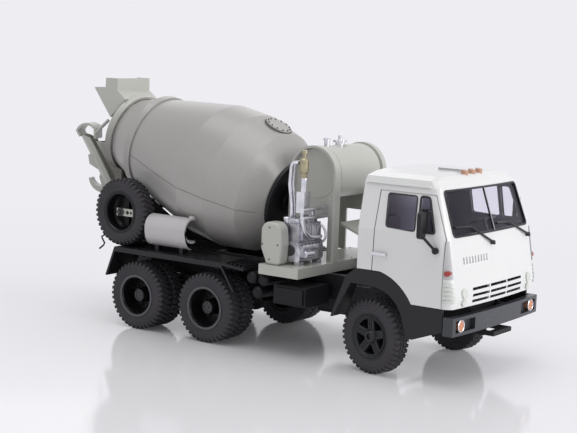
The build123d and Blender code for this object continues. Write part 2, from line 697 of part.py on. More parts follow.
side_lamp = (25.6, 35.2, 0.8)
tail_y, tail_z, tail_r = 9.2, 20.8, 1.2
with BuildPart() as side_lamps:
    add(skin(-1.0, -deflector_t))
    with BuildPart(mode=Mode.PRIVATE) as side_rods:
        rod((side_lamp[0], -32, side_lamp[1]), (side_lamp[0], -20, side_lamp[1]), side_lamp[2])
        mirror(about=Plane.XZ)
    add(side_rods.part, mode=Mode.INTERSECT)
    for side in (-1, 1):
        rod((frame_rear, side * tail_y, tail_z), (frame_rear - 1.0, side * tail_y, tail_z), tail_r)
keep(side_lamps.part, "side_lamps")

marker_x = 16.9
marker_pitch = 4.65
with BuildPart() as roof_lamps:
    add(skin(-1.1, 0))
    with BuildPart(mode=Mode.PRIVATE) as marker_blocks:
        with BuildSketch(Plane.XY.offset(60)):
            with Locations((marker_x, -marker_pitch), (marker_x, 0), (marker_x, marker_pitch)):
                RectangleRounded(2.0, 2.2, 0.8)
        extrude(amount=8)
    add(marker_blocks.part, mode=Mode.INTERSECT)
keep(roof_lamps.part, "roof_lamps")

strip_x0, strip_x1 = 6.6, 15.0
strip_y = -2.6
with BuildPart() as roof_strip:
    add(skin(-0.6, 0))
    with BuildPart(mode=Mode.PRIVATE) as strip_block:
        box(strip_x0, strip_x1, strip_y - 0.45, strip_y + 0.45, 60, 66)
    add(strip_block.part, mode=Mode.INTERSECT)
keep(roof_strip.part, "roof_strip")

handle_x0, handle_x1, handle_z = -0.6, 4.4, 38.4
with BuildPart() as door_handles:
    for side in (-1, 1):
        for x in (handle_x0, handle_x1 - 0.8):
            box(x, x + 0.8, side * cab_half, side * (cab_half + 0.6), handle_z - 0.5, handle_z + 0.5)
        box(handle_x0, handle_x1, side * (cab_half + 0.35), side * (cab_half + 0.9),
            handle_z - 0.5, handle_z + 0.5)
keep(door_handles.part, "door_handles")

# Mirrors: a foot on the door, a bent arm and a tall rounded head
mirror_foot = (21.4, 41.6)
mirror_x = 17.7
mirror_y = 31.2
mirror_z0, mirror_z1 = 45.0, 53.2
with BuildPart() as mirrors:
    foot_x, foot_z = mirror_foot
    rod((foot_x, -cab_half, foot_z), (foot_x, -cab_half - 0.9, foot_z), 1.0)
    rod((foot_x, -cab_half - 0.5, foot_z), (mirror_x, -mirror_y, mirror_z0 + 1.2), 0.45)
    with BuildSketch(Plane.YZ.offset(mirror_x - 0.7)):
        with Locations((-mirror_y, (mirror_z0 + mirror_z1) / 2)):
            RectangleRounded(3.2, mirror_z1 - mirror_z0, 1.2)
    extrude(amount=1.4)
    mirror(about=Plane.XZ)
keep(mirrors.part, "mirrors")

# Engine platform: a folded sheet tray across the frame
platform_lip = 3.3
with BuildPart() as engine_platform:
    z_low = platform_top - platform_lip
    box(platform_rear, platform_front, -platform_half, platform_half, z_low, platform_top)
    for side in (-1, 1):
        box(platform_rear + sheet_t, platform_front - sheet_t, side * (rail_y + 0.3),
            side * (platform_half - sheet_t), z_low - 1, platform_top - sheet_t, Mode.SUBTRACT)
    inner_y = rail_y - rail_flange - 0.3
    box(platform_rear + sheet_t, platform_front - sheet_t, -inner_y, inner_y, z_low - 1, platform_top - sheet_t,
        Mode.SUBTRACT)
keep(engine_platform.part, "engine_platform")

# Drive engine on the platform: sump, block with cylinder ribs and the fan cowl
engine_x0, engine_x1 = -42.2, -32.6
engine_y0, engine_y1 = -21.5, -8.0
with BuildPart() as drive_engine:
    mid_x = (engine_x0 + engine_x1) / 2
    for x in (engine_x0 + 1.4, engine_x1 - 1.4):
        for y in (engine_y0 + 1.6, engine_y1 - 1.6):
            box(x - 1.1, x + 1.1, y - 1.1, y + 1.1, platform_top, platform_top + 1.2)
    with BuildSketch(Plane.XZ.offset(-engine_y0)) as sump:
        with BuildLine():
            z0 = platform_top + 1.2
            Polyline((engine_x0 + 0.2, z0), (engine_x1 - 0.2, z0), (engine_x1, z0 + 3.0),
                     (engine_x1 - 0.6, z0 + 6.5), (engine_x0 + 0.6, z0 + 6.5), (engine_x0, z0 + 3.0), close=True)
        make_face()
        fillet(sump.vertices(), 0.8)
    extrude(amount=engine_y0 - engine_y1)
    box(engine_x0 + 1.0, engine_x1 - 1.0, engine_y0 + 0.6, engine_y1 - 0.6, z0 + 6, z0 + 12.4)
    for i in range(4):
        y = engine_y0 + 2.0 + i * 2.9
        rod((mid_x - 1.2, y + 0.4, z0 + 12), (mid_x - 1.2, y + 0.4, z0 + 13.8), 0.9)
        box(engine_x1 - 1.6, engine_x1 - 0.2, y - 0.5, y + 1.3, z0 + 7.2, z0 + 11.4)
    rod((engine_x1 - 1.2, engine_y0 + 1, z0 + 4.4), (engine_x1 - 1.2, engine_y1 - 1, z0 + 4.4), 1.7)
keep(drive_engine.part, "drive_engine")

# Rounded cover casing at the engine's near end
cover_x0, cover_x1 = -45.2, -37.4
cover_y0, cover_y1 = -26.2, -22.0
cover_top = 43.4
lid_rear_x, lid_rear_z = -31.6, 42.1
lid_front_x, lid_front_z = -24.3, 39.4
lid_far_y, lid_t = 20.0, 0.9
cover_corners = [
    # x, z, corner radius
    (cover_x0 + 2.4, platform_top, 0.3),
    (cover_x1, platform_top, 1.5),
    (cover_x1 + 0.6, 36.0, 1.0),
    (cover_x1, cover_top, 3.2),
    (cover_x0, cover_top, 3.2),
    (cover_x0, 34.5, 2.0),
]
with BuildPart() as engine_cover:
    with BuildSketch(Plane.XZ.offset(-cover_y1)) as casing:
        with BuildLine():
            FilletPolyline(*[(x, z) for x, z, r in cover_corners], radius=[r for x, z, r in cover_corners],
                           close=True)
        make_face()
    extrude(amount=cover_y1 - cover_y0)
    fillet(engine_cover.faces().sort_by(Axis.Y)[0].edges(), 0.9)
    # Slanted lid over the pump drive behind the cab, on a post at the subframe and one at the platform
    with BuildSketch(Plane.XZ):
        with BuildLine():
            Polyline((lid_rear_x, lid_rear_z), (lid_front_x, lid_front_z), (lid_front_x, lid_front_z - lid_t),
                     (lid_rear_x, lid_rear_z - lid_t), close=True)
        make_face()
    extrude(amount=-lid_far_y)
    for x, y, z in ((-28.1, 8.8, deck_z), (-30.3, 17.2, platform_top)):
        post_top = lid_front_z + (lid_rear_z - lid_front_z) * (x - lid_front_x) / (lid_rear_x - lid_front_x)
        box(x - 0.8, x + 0.8, y - 0.8, y + 0.8, z, post_top - lid_t / 2)
keep(engine_cover.part, "engine_cover")

# Pipes over the engine: a bent twin pipe, two cross tubes and a silencer with its own pipe
pipe_r = 0.65
block_top = platform_top + 13.6
pipe_path = [(-40.4, -15, block_top), (-40.4, -15, 48), (-41.5, -15, 55), (-41.0, -15, 62.2), (-38.2, -15, 62.4)]
silencer_x, silencer_y = -36.6, -15.0
with BuildPart() as engine_pipes:
    for dy in (-0.8, 0.8):
        with BuildLine() as route:
            FilletPolyline(*[(x, y + dy, z) for x, y, z in pipe_path], radius=1.6)
        with BuildSketch(Plane(origin=route.line @ 0, z_dir=route.line % 0)):
            Circle(pipe_r)
        sweep(path=route.line)
    for z in (44.6, 47.4):
        rod((engine_x1 - 1.4, engine_y0 + 2.6, z), (engine_x1 - 1.4, tank_near - 0.6, z), 0.75)
    box(silencer_x - 1.6, silencer_x + 1.6, silencer_y - 1.6, silencer_y + 1.6, 46.0, 53.0)
    rod((silencer_x, silencer_y, block_top), (silencer_x, silencer_y, 46.0), 0.9)
    rod((silencer_x, silencer_y, 53.0), (silencer_x, silencer_y, 57.5), 0.9)
    box(engine_x1 - 2.0, engine_x1 - 1.2, engine_y0 + 8.5, engine_y0 + 9.7, block_top, 47.4)
keep(engine_pipes.part, "engine_pipes")

filter_x, filter_y = silencer_x, silencer_y
with BuildPart() as engine_filter:
    with BuildSketch(Plane.XZ.offset(-filter_y)):
        with BuildLine():
            Polyline((filter_x, 57.5), (filter_x + 1.1, 57.5), (filter_x + 1.1, 59.0), (filter_x + 1.5, 59.4),
                     (filter_x + 1.5, 63.4), (filter_x + 1.0, 64.0), (filter_x + 0.6, 64.0),
                     (filter_x + 0.6, 65.6), (filter_x + 1.0, 65.6), (filter_x + 1.0, 66.6),
                     (filter_x, 66.6), close=True)
        make_face()
    revolve(axis=Axis((filter_x, filter_y, 0), (0, 0, 1)))
keep(engine_filter.part, "engine_filter")

# Water tank across the truck with dished ends, between two arch plates that stand on the platform
arch_t = 0.8
arch_gap = 0.4
arch_lip = 2.3
arch_leg = 4.1
arch_r = tank_r + arch_gap
arch_door_top = 44.0
with BuildPart() as water_tank:
    with BuildSketch(Plane.YZ.offset(tank_x)):
        with BuildLine():
            y0, y1 = tank_near + arch_t, tank_far
            Polyline((y0, tank_z), (y0, tank_z + tank_r - 1.2), (y0 + 1.2, tank_z + tank_r),
                     (y1 - 1.2, tank_z + tank_r), (y1, tank_z + tank_r - 1.2), (y1, tank_z), close=True)
        make_face()
    revolve(axis=Axis((tank_x, 0, tank_z), (0, 1, 0)))
keep(water_tank.part, "water_tank")


def arch_outline(inset):
    """The tombstone outline of an arch plate, its round top about the tank's axis, moved inwards by inset."""
    r = arch_r - inset
    with BuildLine() as outline:
        Polyline((-r, platform_top - tank_z), (-r, 0))
        ThreePointArc((-r, 0), (0, r), (r, 0))
        Polyline((r, 0), (r, platform_top - tank_z), (-r, platform_top - tank_z))
    return outline.line


with BuildPart() as tank_arches:
    for y, lip in ((tank_near, -arch_lip), (tank_far, arch_lip)):
        plate = Plane(origin=(tank_x, y, tank_z), x_dir=(1, 0, 0), z_dir=(0, -1, 0))
        with BuildSketch(plate):
            make_face(arch_outline(0).edges())
        extrude(amount=-arch_t)
        with BuildSketch(plate):
            make_face(arch_outline(0).edges())
            make_face(arch_outline(arch_t).edges(), mode=Mode.SUBTRACT)
            with Locations((0, platform_top - tank_z)):
                Rectangle(2 * arch_r - 2 * arch_t, 2 * arch_t, mode=Mode.SUBTRACT)
        extrude(amount=-lip)
    door_half = arch_r - arch_leg
    box(tank_x - door_half, tank_x + door_half, tank_near - 3, tank_near + 2, platform_top - 1, arch_door_top,
        Mode.SUBTRACT)
    box(tank_x - door_half, tank_x + door_half, tank_far - 1, tank_far + 4, platform_top - 1, arch_door_top,
        Mode.SUBTRACT)
keep(tank_arches.part, "tank_arches")

caps = [
    # y, post radius, cap radius, height of the cap's top over the tank
    (0.5, 0.9, 1.2, 2.6),
    (8.5, 1.6, 2.4, 1.6),
]
with BuildPart() as tank_caps:
    top = tank_z + tank_r
    for y, post, cap, rise in caps:
        rod((tank_x, y, top - 0.1), (tank_x, y, top + rise - 0.6), post)
        rod((tank_x, y, top + rise - 0.7), (tank_x, y, top + rise), cap)
    rod((tank_x, caps[1][0], top + 1.5), (tank_x, caps[1][0], top + 3.2), 0.7)
    with BuildSketch(Plane.XZ.offset(20)):
        with Locations((tank_x, tank_z)):
            Circle(tank_r)
    extrude(amount=-50, mode=Mode.SUBTRACT)
keep(tank_caps.part, "tank_caps")

# Mixing drum: shell, rolling band, front ring and trunnion, all turned about one tilted axis
tilt = radians(drum_tilt)
drum_wall = 1.2
drum_plane = Plane(origin=(drum_ref_x, 0, drum_ref_z), x_dir=(-cos(tilt), 0, sin(tilt)), z_dir=(0, 1, 0))
drum_axis = Axis((drum_ref_x, 0, drum_ref_z), (-cos(tilt), 0, sin(tilt)))
trunnion_r = 2.6
trunnion_s = -9.4
head_s = -2.6
ring_lip = 1.3
hatch_s, hatch_r, hatch_rise = 9.2, 4.7, 0.55
hatch_skin_r = drum_dome_r + (drum_wide_r - drum_dome_r) * (hatch_s - drum_dome_s) / (drum_wide_s - drum_dome_s)


def on_axis(s, r=0.0, y=0.0):
    """The point at distance s along the drum's axis, r above it in its own plane, and y across."""
    return (drum_ref_x - s * cos(tilt) + r * sin(tilt), y, drum_ref_z + s * sin(tilt) + r * cos(tilt))


def cross_plane(s):
    """The plane square to the drum's axis at distance s, its x across the truck."""
    return Plane(origin=on_axis(s), x_dir=(0, 1, 0), z_dir=(-cos(tilt), 0, sin(tilt)))


drum_outer = [(head_s, drum_front_r - 0.6), (drum_dome_s, drum_dome_r), (drum_wide_s, drum_wide_r),
              (drum_rear_s, drum_rear_r), (band_s, band_r), (mouth_s, mouth_r)]


def drum_turn(points, mode=Mode.ADD):
    """A closed outline of (distance along the axis, radius) turned about the drum's axis."""
    with BuildSketch(drum_plane) as outline:
        with BuildLine():
            Polyline(*points, close=True)
        make_face()
    revolve(outline.sketch, axis=drum_axis, mode=mode)


with BuildPart() as drum_shell:
    inner = [(s, r - drum_wall) for s, r in drum_outer[1:]]
    drum_turn([(head_s, 0), *drum_outer, *reversed(inner), (head_s + drum_wall, drum_front_r - drum_wall),
               (head_s + drum_wall, 0)])
    slope = atan2(drum_wide_r - drum_dome_r, drum_wide_s - drum_dome_s) + tilt
    with Locations(Plane(origin=on_axis(hatch_s, hatch_skin_r), z_dir=(sin(slope), 0, cos(slope)))):
        Cylinder(hatch_r, 2 * hatch_rise, align=(Align.CENTER, Align.CENTER, Align.CENTER))
keep(drum_shell.part, "drum_shell")

with BuildPart() as drum_front_ring:
    drum_turn([(head_s, 0), (head_s, drum_front_r), (drum_front_s, drum_front_r),
               (drum_front_s, drum_front_r - ring_lip),
               (drum_front_s + 0.8, drum_front_r - ring_lip), (drum_front_s + 0.8, trunnion_r + 2.4),
               (drum_front_s, trunnion_r + 1.6), (drum_front_s, trunnion_r), (trunnion_s, trunnion_r),
               (trunnion_s, 0)])
keep(drum_front_ring.part, "drum_front_ring")

band_rise = 0.9


def drum_r(s):
    """The drum's outer radius on the rear cones."""
    for (s0, r0), (s1, r1) in zip(drum_outer, drum_outer[1:]):
        if s0 <= s <= s1:
            return r0 + (r1 - r0) * (s - s0) / (s1 - s0)


band_top = band_r + band_rise
with BuildPart() as drum_band:
    s0, s1 = band_s - band_w / 2, band_s + band_w / 2
    drum_turn([(s0, drum_r(s0)), (s0, band_top), (s1, band_top), (s1, drum_r(s1)), (band_s, band_r)])
keep(drum_band.part, "drum_band")

# Front stand: a plate with two feet on the subframe and the trunnion's bearing housing
bearing_r = 4.2
bearing_s0, bearing_s1 = -8.8, -5.4
stand_x0, stand_x1 = -50.0, -48.4
with BuildPart() as drum_front_stand:
    with BuildSketch(Plane.YZ.offset(stand_x0)):
        with BuildLine():
            Polyline((-rail_y, deck_z), (-rail_y + 3, deck_z), (-2.2, 38.0), (2.2, 38.0), (rail_y - 3, deck_z),
                     (rail_y, deck_z), (3.6, 46.0), (-3.6, 46.0), close=True)
        make_face()
    extrude(amount=stand_x1 - stand_x0)
    drum_turn([(bearing_s0, 0), (bearing_s0, bearing_r), (bearing_s1, bearing_r), (bearing_s1, 0)])
    for side in (-1, 1):
        box(stand_x0, platform_rear - 0.3, side * rail_y, side * (rail_y - rail_flange), deck_z, deck_z + 0.8)
    drum_turn([(bearing_s0 - 5, 0), (bearing_s0 - 5, trunnion_r + running_gap),
               (bearing_s1 + 5, trunnion_r + running_gap), (bearing_s1 + 5, 0)], Mode.SUBTRACT)
keep(drum_front_stand.part, "drum_front_stand")

# Rear stand: a braced box on the subframe that carries the rollers and, behind it, the chute's bracket
roller_angle = 32.0
roller_r = 2.0
roller_half = 1.8
roller_gap = 0.25
roller_pin_r = 0.7
roller_c = band_top + roller_gap + roller_r
cheek_r = 1.8
cheek_drop = 5.2
seat_z = 40.5
stand2_x0, stand2_x1 = -120.6, -110.0
bracket_z0, bracket_z1 = 38.8, 41.2
pivot_r = 1.5
bar_y0, bar_y1 = 6.6, 7.8
bar_x0, bar_x1 = -127.0, -123.6
with BuildPart() as drum_rear_stand:
    for side in (-1, 1):
        with BuildSketch(Plane.XZ.offset(side * 8.6 + 0.6)):
            with BuildLine():
                Polyline((stand2_x0, deck_z), (stand2_x1 + 17, deck_z), (stand2_x1 + 14.5, deck_z + 1.6),
                         (stand2_x1, seat_z), (stand2_x0, seat_z), close=True)
            make_face()
            with BuildLine():
                Polyline((stand2_x0 + 2, deck_z + 2), (stand2_x1 + 10, deck_z + 2),
                         (stand2_x1 - 1.4, seat_z - 2.6),
                         (stand2_x0 + 2, seat_z - 2.6), close=True)
            make_face(mode=Mode.SUBTRACT)
        extrude(amount=-1.2)
    box(stand2_x0, stand2_x0 + 1.4, -9.2, 9.2, deck_z, seat_z)
    box(stand2_x0, stand2_x1, -9.2, 9.2, seat_z - 1.0, seat_z)
    for side in (-1, 1):
        a = radians(roller_angle)
        y = side * roller_c * sin(a)
        for s in (band_s - roller_half - 1.3, band_s + roller_half + 0.4):
            with BuildSketch(cross_plane(s)) as cheek:
                with Locations((side * roller_c * sin(a), roller_c * cos(a))):
                    Circle(cheek_r)
                    Rectangle(2 * cheek_r, cheek_drop, align=(Align.CENTER, Align.MIN))
            extrude(amount=0.9)
        box(stand2_x0 + 0.2, stand2_x1 - 0.2, y - 1.9, y + 1.9, seat_z - 1, seat_z + 1.4)
    box(chute_axis_x - 3.2, stand2_x0, -4.2, 4.2, bracket_z0, bracket_z1)
    for side in (-1, 1):
        box(bar_x0, stand2_x0, side * bar_y0, side * bar_y1, bracket_z0, bracket_z1)
    rod((chute_axis_x, 0, bracket_z0), (chute_axis_x, 0, bracket_z1), 3.6)
    rod((chute_axis_x, 0, bracket_z0 - 2), (chute_axis_x, 0, bracket_z1 + 2), pivot_r + running_gap,
        Mode.SUBTRACT)
keep(drum_rear_stand.part, "drum_rear_stand")

with BuildPart() as drum_rollers:
    for side in (-1, 1):
        a = radians(side * roller_angle)
        for start, length, r in ((band_s - roller_half, 2 * roller_half, roller_r),
                                 (band_s - roller_half - 0.35, 2 * roller_half + 0.7, roller_pin_r)):
            with BuildSketch(cross_plane(start)) as disc:
                with Locations((roller_c * sin(a), roller_c * cos(a))):
                    Circle(r)
            extrude(disc.sketch, amount=length)
keep(drum_rollers.part, "drum_rollers")

# Rear fenders: flat tops with an outer lip, slanted flaps at both ends and a slatted front slope
fender_lip = 1.7
fender_t = 0.8
rear_flap_foot = (-111.4, 17.4)
front_flap_foot = (-53.6, 18.9)
slope_x, slope_z = -50.0, 26.4
with BuildPart() as rear_fenders:
    with BuildSketch(Plane.XZ.offset(fender_in)):
        with BuildLine():
            Polyline((fender_rear, fender_top), (fender_front, fender_top), (slope_x, slope_z + fender_t),
                     (slope_x, slope_z), (fender_front, fender_top - fender_t),
                     (fender_rear + 0.5, fender_top - fender_t),
                     (rear_flap_foot[0] + fender_t, rear_flap_foot[1]),
                     (rear_flap_foot[0], rear_flap_foot[1]), close=True)
        make_face()
    extrude(amount=fender_half - fender_in)
    box(fender_rear, fender_front, -fender_half, -fender_half + fender_t, fender_top - fender_lip, fender_top)
    with BuildSketch(Plane.XZ.offset(fender_half - 1.2)):
        with BuildLine():
            Polyline((fender_front, fender_top - fender_t), (front_flap_foot[0], front_flap_foot[1]),
                     (front_flap_foot[0] - fender_t, front_flap_foot[1]),
                     (fender_front - 0.9, fender_top - fender_t), close=True)
        make_face()
    extrude(amount=1.2)
    for i in range(5):
        x = fender_front + 1.6 + i * 1.7
        z = fender_top - (x - fender_front) * (fender_top - slope_z - fender_t) / (slope_x - fender_front)
        box(x - 0.3, x + 0.3, -fender_half + 1, -fender_in - 2, z - 0.3, z + 0.6)
    for x in (fender_front - 8.0, fender_rear + 17.5):
        box(x - 2, x + 2, -fender_in - 2, -rail_y + 1, deck_z, fender_top - fender_t)
    mirror(about=Plane.XZ)
keep(rear_fenders.part, "rear_fenders")

# Collar round the drum's mouth with the discharge funnel below it
collar_out, collar_in = 14.7, 14.0
collar_s0, collar_s1 = 69.6, 72.4
funnel_x = chute_axis_x - 0.4
funnel_wall = 0.8
funnel_sections = [
    # height, half length in X, half width in Y, corner radius
    (48.6, 4.3, 4.6, 4.2),
    (54.0, 5.0, 7.6, 4.6),
    (62.4, 6.2, 12.8, 4.8),
]


def funnel_body(inset, stretch=0.0):
    """The funnel's closed form between its heights, moved inwards by inset, its ends run on by stretch."""
    with BuildPart() as body:
        for i, (z, half_x, half_y, corner) in enumerate(funnel_sections):
            z += (-stretch if i == 0 else stretch if i == len(funnel_sections) - 1 else 0)
            with BuildSketch(Plane.XY.offset(z)):
                with Locations((funnel_x, 0)):
                    RectangleRounded(2 * (half_x - inset), 2 * (half_y - inset), corner - inset)
        loft(ruled=True)
    return body.part


with BuildPart() as mouth_collar:
    add(funnel_body(0))
    for side in (-1, 1):
        box(bar_x0, bar_x1, side * bar_y0, side * bar_y1, bracket_z1, 54.0)
    add(funnel_body(funnel_wall, 1.0), mode=Mode.SUBTRACT)
    drum_turn([(40, 0), (40, collar_out), (collar_s1, collar_out), (collar_s1, 0)], Mode.SUBTRACT)
    drum_turn([(collar_s0, collar_in), (collar_s0, collar_out), (collar_s1, collar_out), (collar_s1, collar_in)])
keep(mouth_collar.part, "mouth_collar")

# Charging hopper: folded sheet, open at the top and towards the mouth
hopper_half = 8.8
hopper_t = 0.8
hopper_outline = [(-125.5, 86.0), (-131.2, 86.0), (-131.4, 82.5), (-137.0, 82.3), (-128.8, 71.7), (-121.6, 78.6),
                  (-125.5, 81.5)]
with BuildPart() as charging_hopper:
    with BuildSketch(Plane.XZ.offset(-hopper_half)):
        with BuildLine():
            Polyline(*hopper_outline, close=True)
        make_face()
    extrude(amount=2 * hopper_half)
    with BuildSketch(Plane.XZ.offset(-hopper_half + hopper_t)):
        with BuildLine():
            Polyline((-125.5 - hopper_t, 90), (-140, 90), (-137.0 + hopper_t, 82.3 + 0.4),
                     (-128.0, 71.0), (-120.4, 77.4), (-125.5 - hopper_t, 81.0), close=True)
        make_face()
    extrude(amount=2 * (hopper_half - hopper_t), mode=Mode.SUBTRACT)
    drum_turn([(40, 0), (40, collar_out), (collar_s1, collar_out), (collar_s1, 0)], Mode.SUBTRACT)
keep(charging_hopper.part, "charging_hopper")

# Discharge chute: a channel raised on its swivel, its folded flap over the upper end, a stay, a small
# pocket under it, and the pin, disc and arm that carry it. d is the distance from the swivel's axis.
pitch = atan2(chute_head_z - chute_foot_z, chute_head_d - chute_foot_d)
chute_len = (chute_head_d - chute_foot_d) / cos(pitch)
shoulder = 0.55 * chute_depth
disc_gap = 0.2
disc_t = 1.2
disc_r = 3.4
arm_half = 1.6
flap_t = 0.7
pocket_half = 2.2
stay_r = 0.6
stay_low, stay_high = (11.4, 65.2), (6.2, 70.3)
swivel = Axis((chute_axis_x, 0, 0), (0, 0, 1))
channel_plane = Plane(origin=(chute_axis_x - chute_foot_d, 0, chute_foot_z), x_dir=(0, -1, 0),
                      z_dir=(-cos(pitch), 0, sin(pitch)))


def at(d, z):
    """A point of the chute's side view: distance behind the swivel and height."""
    return (chute_axis_x - d, z)


with BuildPart() as chute:
    with BuildSketch(channel_plane):
        with BuildLine():
            r, q = chute_half, chute_half - chute_wall
            Line((-r, chute_depth), (-r, shoulder))
            ThreePointArc((-r, shoulder), (0, 0), (r, shoulder))
            Polyline((r, shoulder), (r, chute_depth), (q, chute_depth), (q, shoulder))
            ThreePointArc((q, shoulder), (0, chute_wall), (-q, shoulder))
            Polyline((-q, shoulder), (-q, chute_depth), (-r, chute_depth))
        make_face()
    extrude(amount=chute_len)
    with BuildSketch(Plane.XZ.offset(-chute_half - 1)):
        with BuildLine():
            Polyline(at(20.0, 65.5), at(10.4, 62.2), at(10.4, 75.0), at(24.0, 75.0), close=True)
        make_face()
    extrude(amount=2 * chute_half + 2, mode=Mode.SUBTRACT)
    with BuildSketch(Plane.XZ.offset(-chute_half)):
        with BuildLine():
            Line(at(17.6, 63.6), at(18.9, 65.8))
            ThreePointArc(at(18.9, 65.8), at(15.3, 68.8), at(11.3, 67.0))
            Polyline(at(11.3, 67.0), at(11.2, 63.0), at(11.2 + flap_t, 63.3), at(11.3 + flap_t, 66.5))
            ThreePointArc(at(11.3 + flap_t, 66.5), at(15.2, 68.0), at(18.0, 65.6))
            Polyline(at(18.0, 65.6), at(16.9, 63.8), at(17.6, 63.6))
        make_face()
    extrude(amount=2 * chute_half)
    rod((chute_axis_x - stay_low[0], -chute_half + 0.5, stay_low[1]),
        (chute_axis_x - stay_high[0], -chute_half, stay_high[1]), stay_r)
    with BuildSketch(Plane.XZ.offset(-chute_half + 0.6)):
        with BuildLine():
            Polyline(at(12.6, 57.4), at(14.2, 57.0), at(13.6, 53.6), at(10.6, 51.8), at(10.0, 52.4), close=True)
        make_face()
    extrude(amount=2 * chute_half - 1.2)
    with BuildSketch(Plane.XZ.offset(-pocket_half)):
        with BuildLine():
            ThreePointArc(at(14.2, 48.2), at(12.6, 44.7), at(8.4, 42.8))
            Polyline(at(8.4, 42.8), at(7.4, 43.6), at(8.0, 45.6))
            ThreePointArc(at(8.0, 45.6), at(11.9, 46.0), at(13.5, 48.2))
            Line(at(13.5, 48.2), at(14.2, 48.2))
        make_face()
    extrude(amount=2 * pocket_half)
    rod((chute_axis_x, 0, bracket_z0 - 0.6), (chute_axis_x, 0, bracket_z1 + disc_gap), pivot_r)
    rod((chute_axis_x, 0, bracket_z1 + disc_gap), (chute_axis_x, 0, bracket_z1 + disc_gap + disc_t), disc_r)
    with BuildSketch(Plane.XZ.offset(-arm_half)):
        with BuildLine():
            z0 = bracket_z1 + disc_gap
            foot_d, foot_z = chute_foot_d, chute_foot_z
            arm_rise = 3.0 * tan(pitch)
            Polyline(at(0, z0), at(0, z0 + disc_t), at(disc_r + 0.4, z0 + disc_t),
                     at(foot_d - 0.4, foot_z + 0.6),
                     at(foot_d + 2.8, foot_z + 0.6 + arm_rise), at(foot_d + 3.2, foot_z - 1.0 + arm_rise),
                     at(foot_d + 0.8, z0), close=True)
        make_face()
    extrude(amount=2 * arm_half)
keep(chute.part.rotate(swivel, chute_yaw), "discharge_chute")

# Spare wheel: upright over the right rear fender, on a post with a stud, a nut and a pierced plate
spare_x, spare_y = -107.6, -23.0
spare_z = fender_top + wheel_r + 0.1
spare_place = Location((spare_x, spare_y, spare_z))
stud_r = 0.9
plate_y = spare_y - 1.4
keep(tyre.part.moved(spare_place), "spare_tyre")

with BuildPart() as spare_rim:
    with BuildSketch(Plane.YZ) as dish_half:
        with BuildLine():
            Polyline((-2.6, rim_r), (2.6, rim_r), (2.6, stud_r + 0.1), (1.8, stud_r + 0.1), (1.8, 5.4),
                     (0.9, rim_r - rim_wall), (-2.6, rim_r - rim_wall), (-3.0, rim_r - rim_wall + 0.3),
                     (-3.0, rim_r + 0.4), (-2.6, rim_r + 0.4), close=True)
        make_face()
    revolve(axis=Axis.Y)
keep(spare_rim.part.moved(spare_place), "spare_rim")

post_y0, post_y1 = spare_y + 3.1, spare_y + 4.6
with BuildPart() as spare_carrier:
    box(spare_x - 1.5, spare_x + 1.5, post_y0, post_y1, fender_top, spare_z + 2.4)
    box(spare_x - 4.5, spare_x + 4.5, post_y1 - 0.8, post_y1 + 3.2, fender_top, fender_top + 0.8)
    rod((spare_x, post_y0, spare_z), (spare_x, plate_y - 1.6, spare_z), stud_r)
    rod((spare_x, post_y0, spare_z), (spare_x, spare_y + 2.6, spare_z), 2.4)
    box(spare_x - 0.9, spare_x + 0.9, spare_y + 1.0, spare_y + 1.7, spare_z - 5.2, spare_z + 5.2)
keep(spare_carrier.part, "spare_carrier")

plate_holes = [
    # distance from the stud, hole radius
    (0.0, stud_r + 0.05),
    (2.9, 0.75),
    (4.6, 0.5),
]
with BuildPart() as spare_clamp:
    with BuildSketch(Plane.XZ.offset(-plate_y)):
        with Locations((spare_x + 1.7, spare_z)):
            Rectangle(7.6, 2.6)
        for d, r in plate_holes:
            with Locations((spare_x + d, spare_z)):
                Circle(r, mode=Mode.SUBTRACT)
    extrude(amount=0.7)
keep(spare_clamp.part, "spare_clamp")

# Rolled sheet trough stored on the fender, open towards the frame, on two feet
trough_x0, trough_x1 = -95.3, -77.3
trough_y, trough_z = -22.0, 36.1
trough_r, trough_t = 4.4, 0.6
with BuildPart() as rolled_trough:
    with BuildSketch(Plane.YZ.offset(trough_x0)):
        with Locations((trough_y, trough_z)):
            Circle(trough_r)
            Circle(trough_r - trough_t, mode=Mode.SUBTRACT)
            with Locations((trough_r, 0)):
                Rectangle(2 * (trough_r - 1.4), 4 * trough_r, mode=Mode.SUBTRACT)
    extrude(amount=trough_x1 - trough_x0)
    for x in (trough_x0 + 3.0, trough_x1 - 4.0):
        box(x - 0.8, x + 0.8, trough_y - 1.2, trough_y + 1.2, fender_top, trough_z - trough_r + trough_t / 2)
    box(trough_x1 - 1.2, trough_x1 + 0.4, trough_y - 0.7, trough_y + 0.7, trough_z + trough_r - 0.2,
        trough_z + trough_r + 0.7)
keep(rolled_trough.part, "rolled_trough")

# Air tanks: three short cylinders across the right side, on one plate at the frame
air_tank_places = [
    # x, z
    (-48.9, 24.0),
    (-44.1, 23.8),
    (-46.4, 19.4),
]
air_r = 2.0
air_y0, air_y1 = -26.0, -11.4
with BuildPart() as air_tanks:
    for x, z in air_tank_places:
        rod((x, air_y0, z), (x, air_y1, z), air_r)
    chamfer(air_tanks.faces().sort_by(Axis.Y)[:3].edges(), 0.6)
    box(-51.0, -42.0, air_y1, -rail_y, rail_z + 0.6, rail_top)
keep(air_tanks.part, "air_tanks")

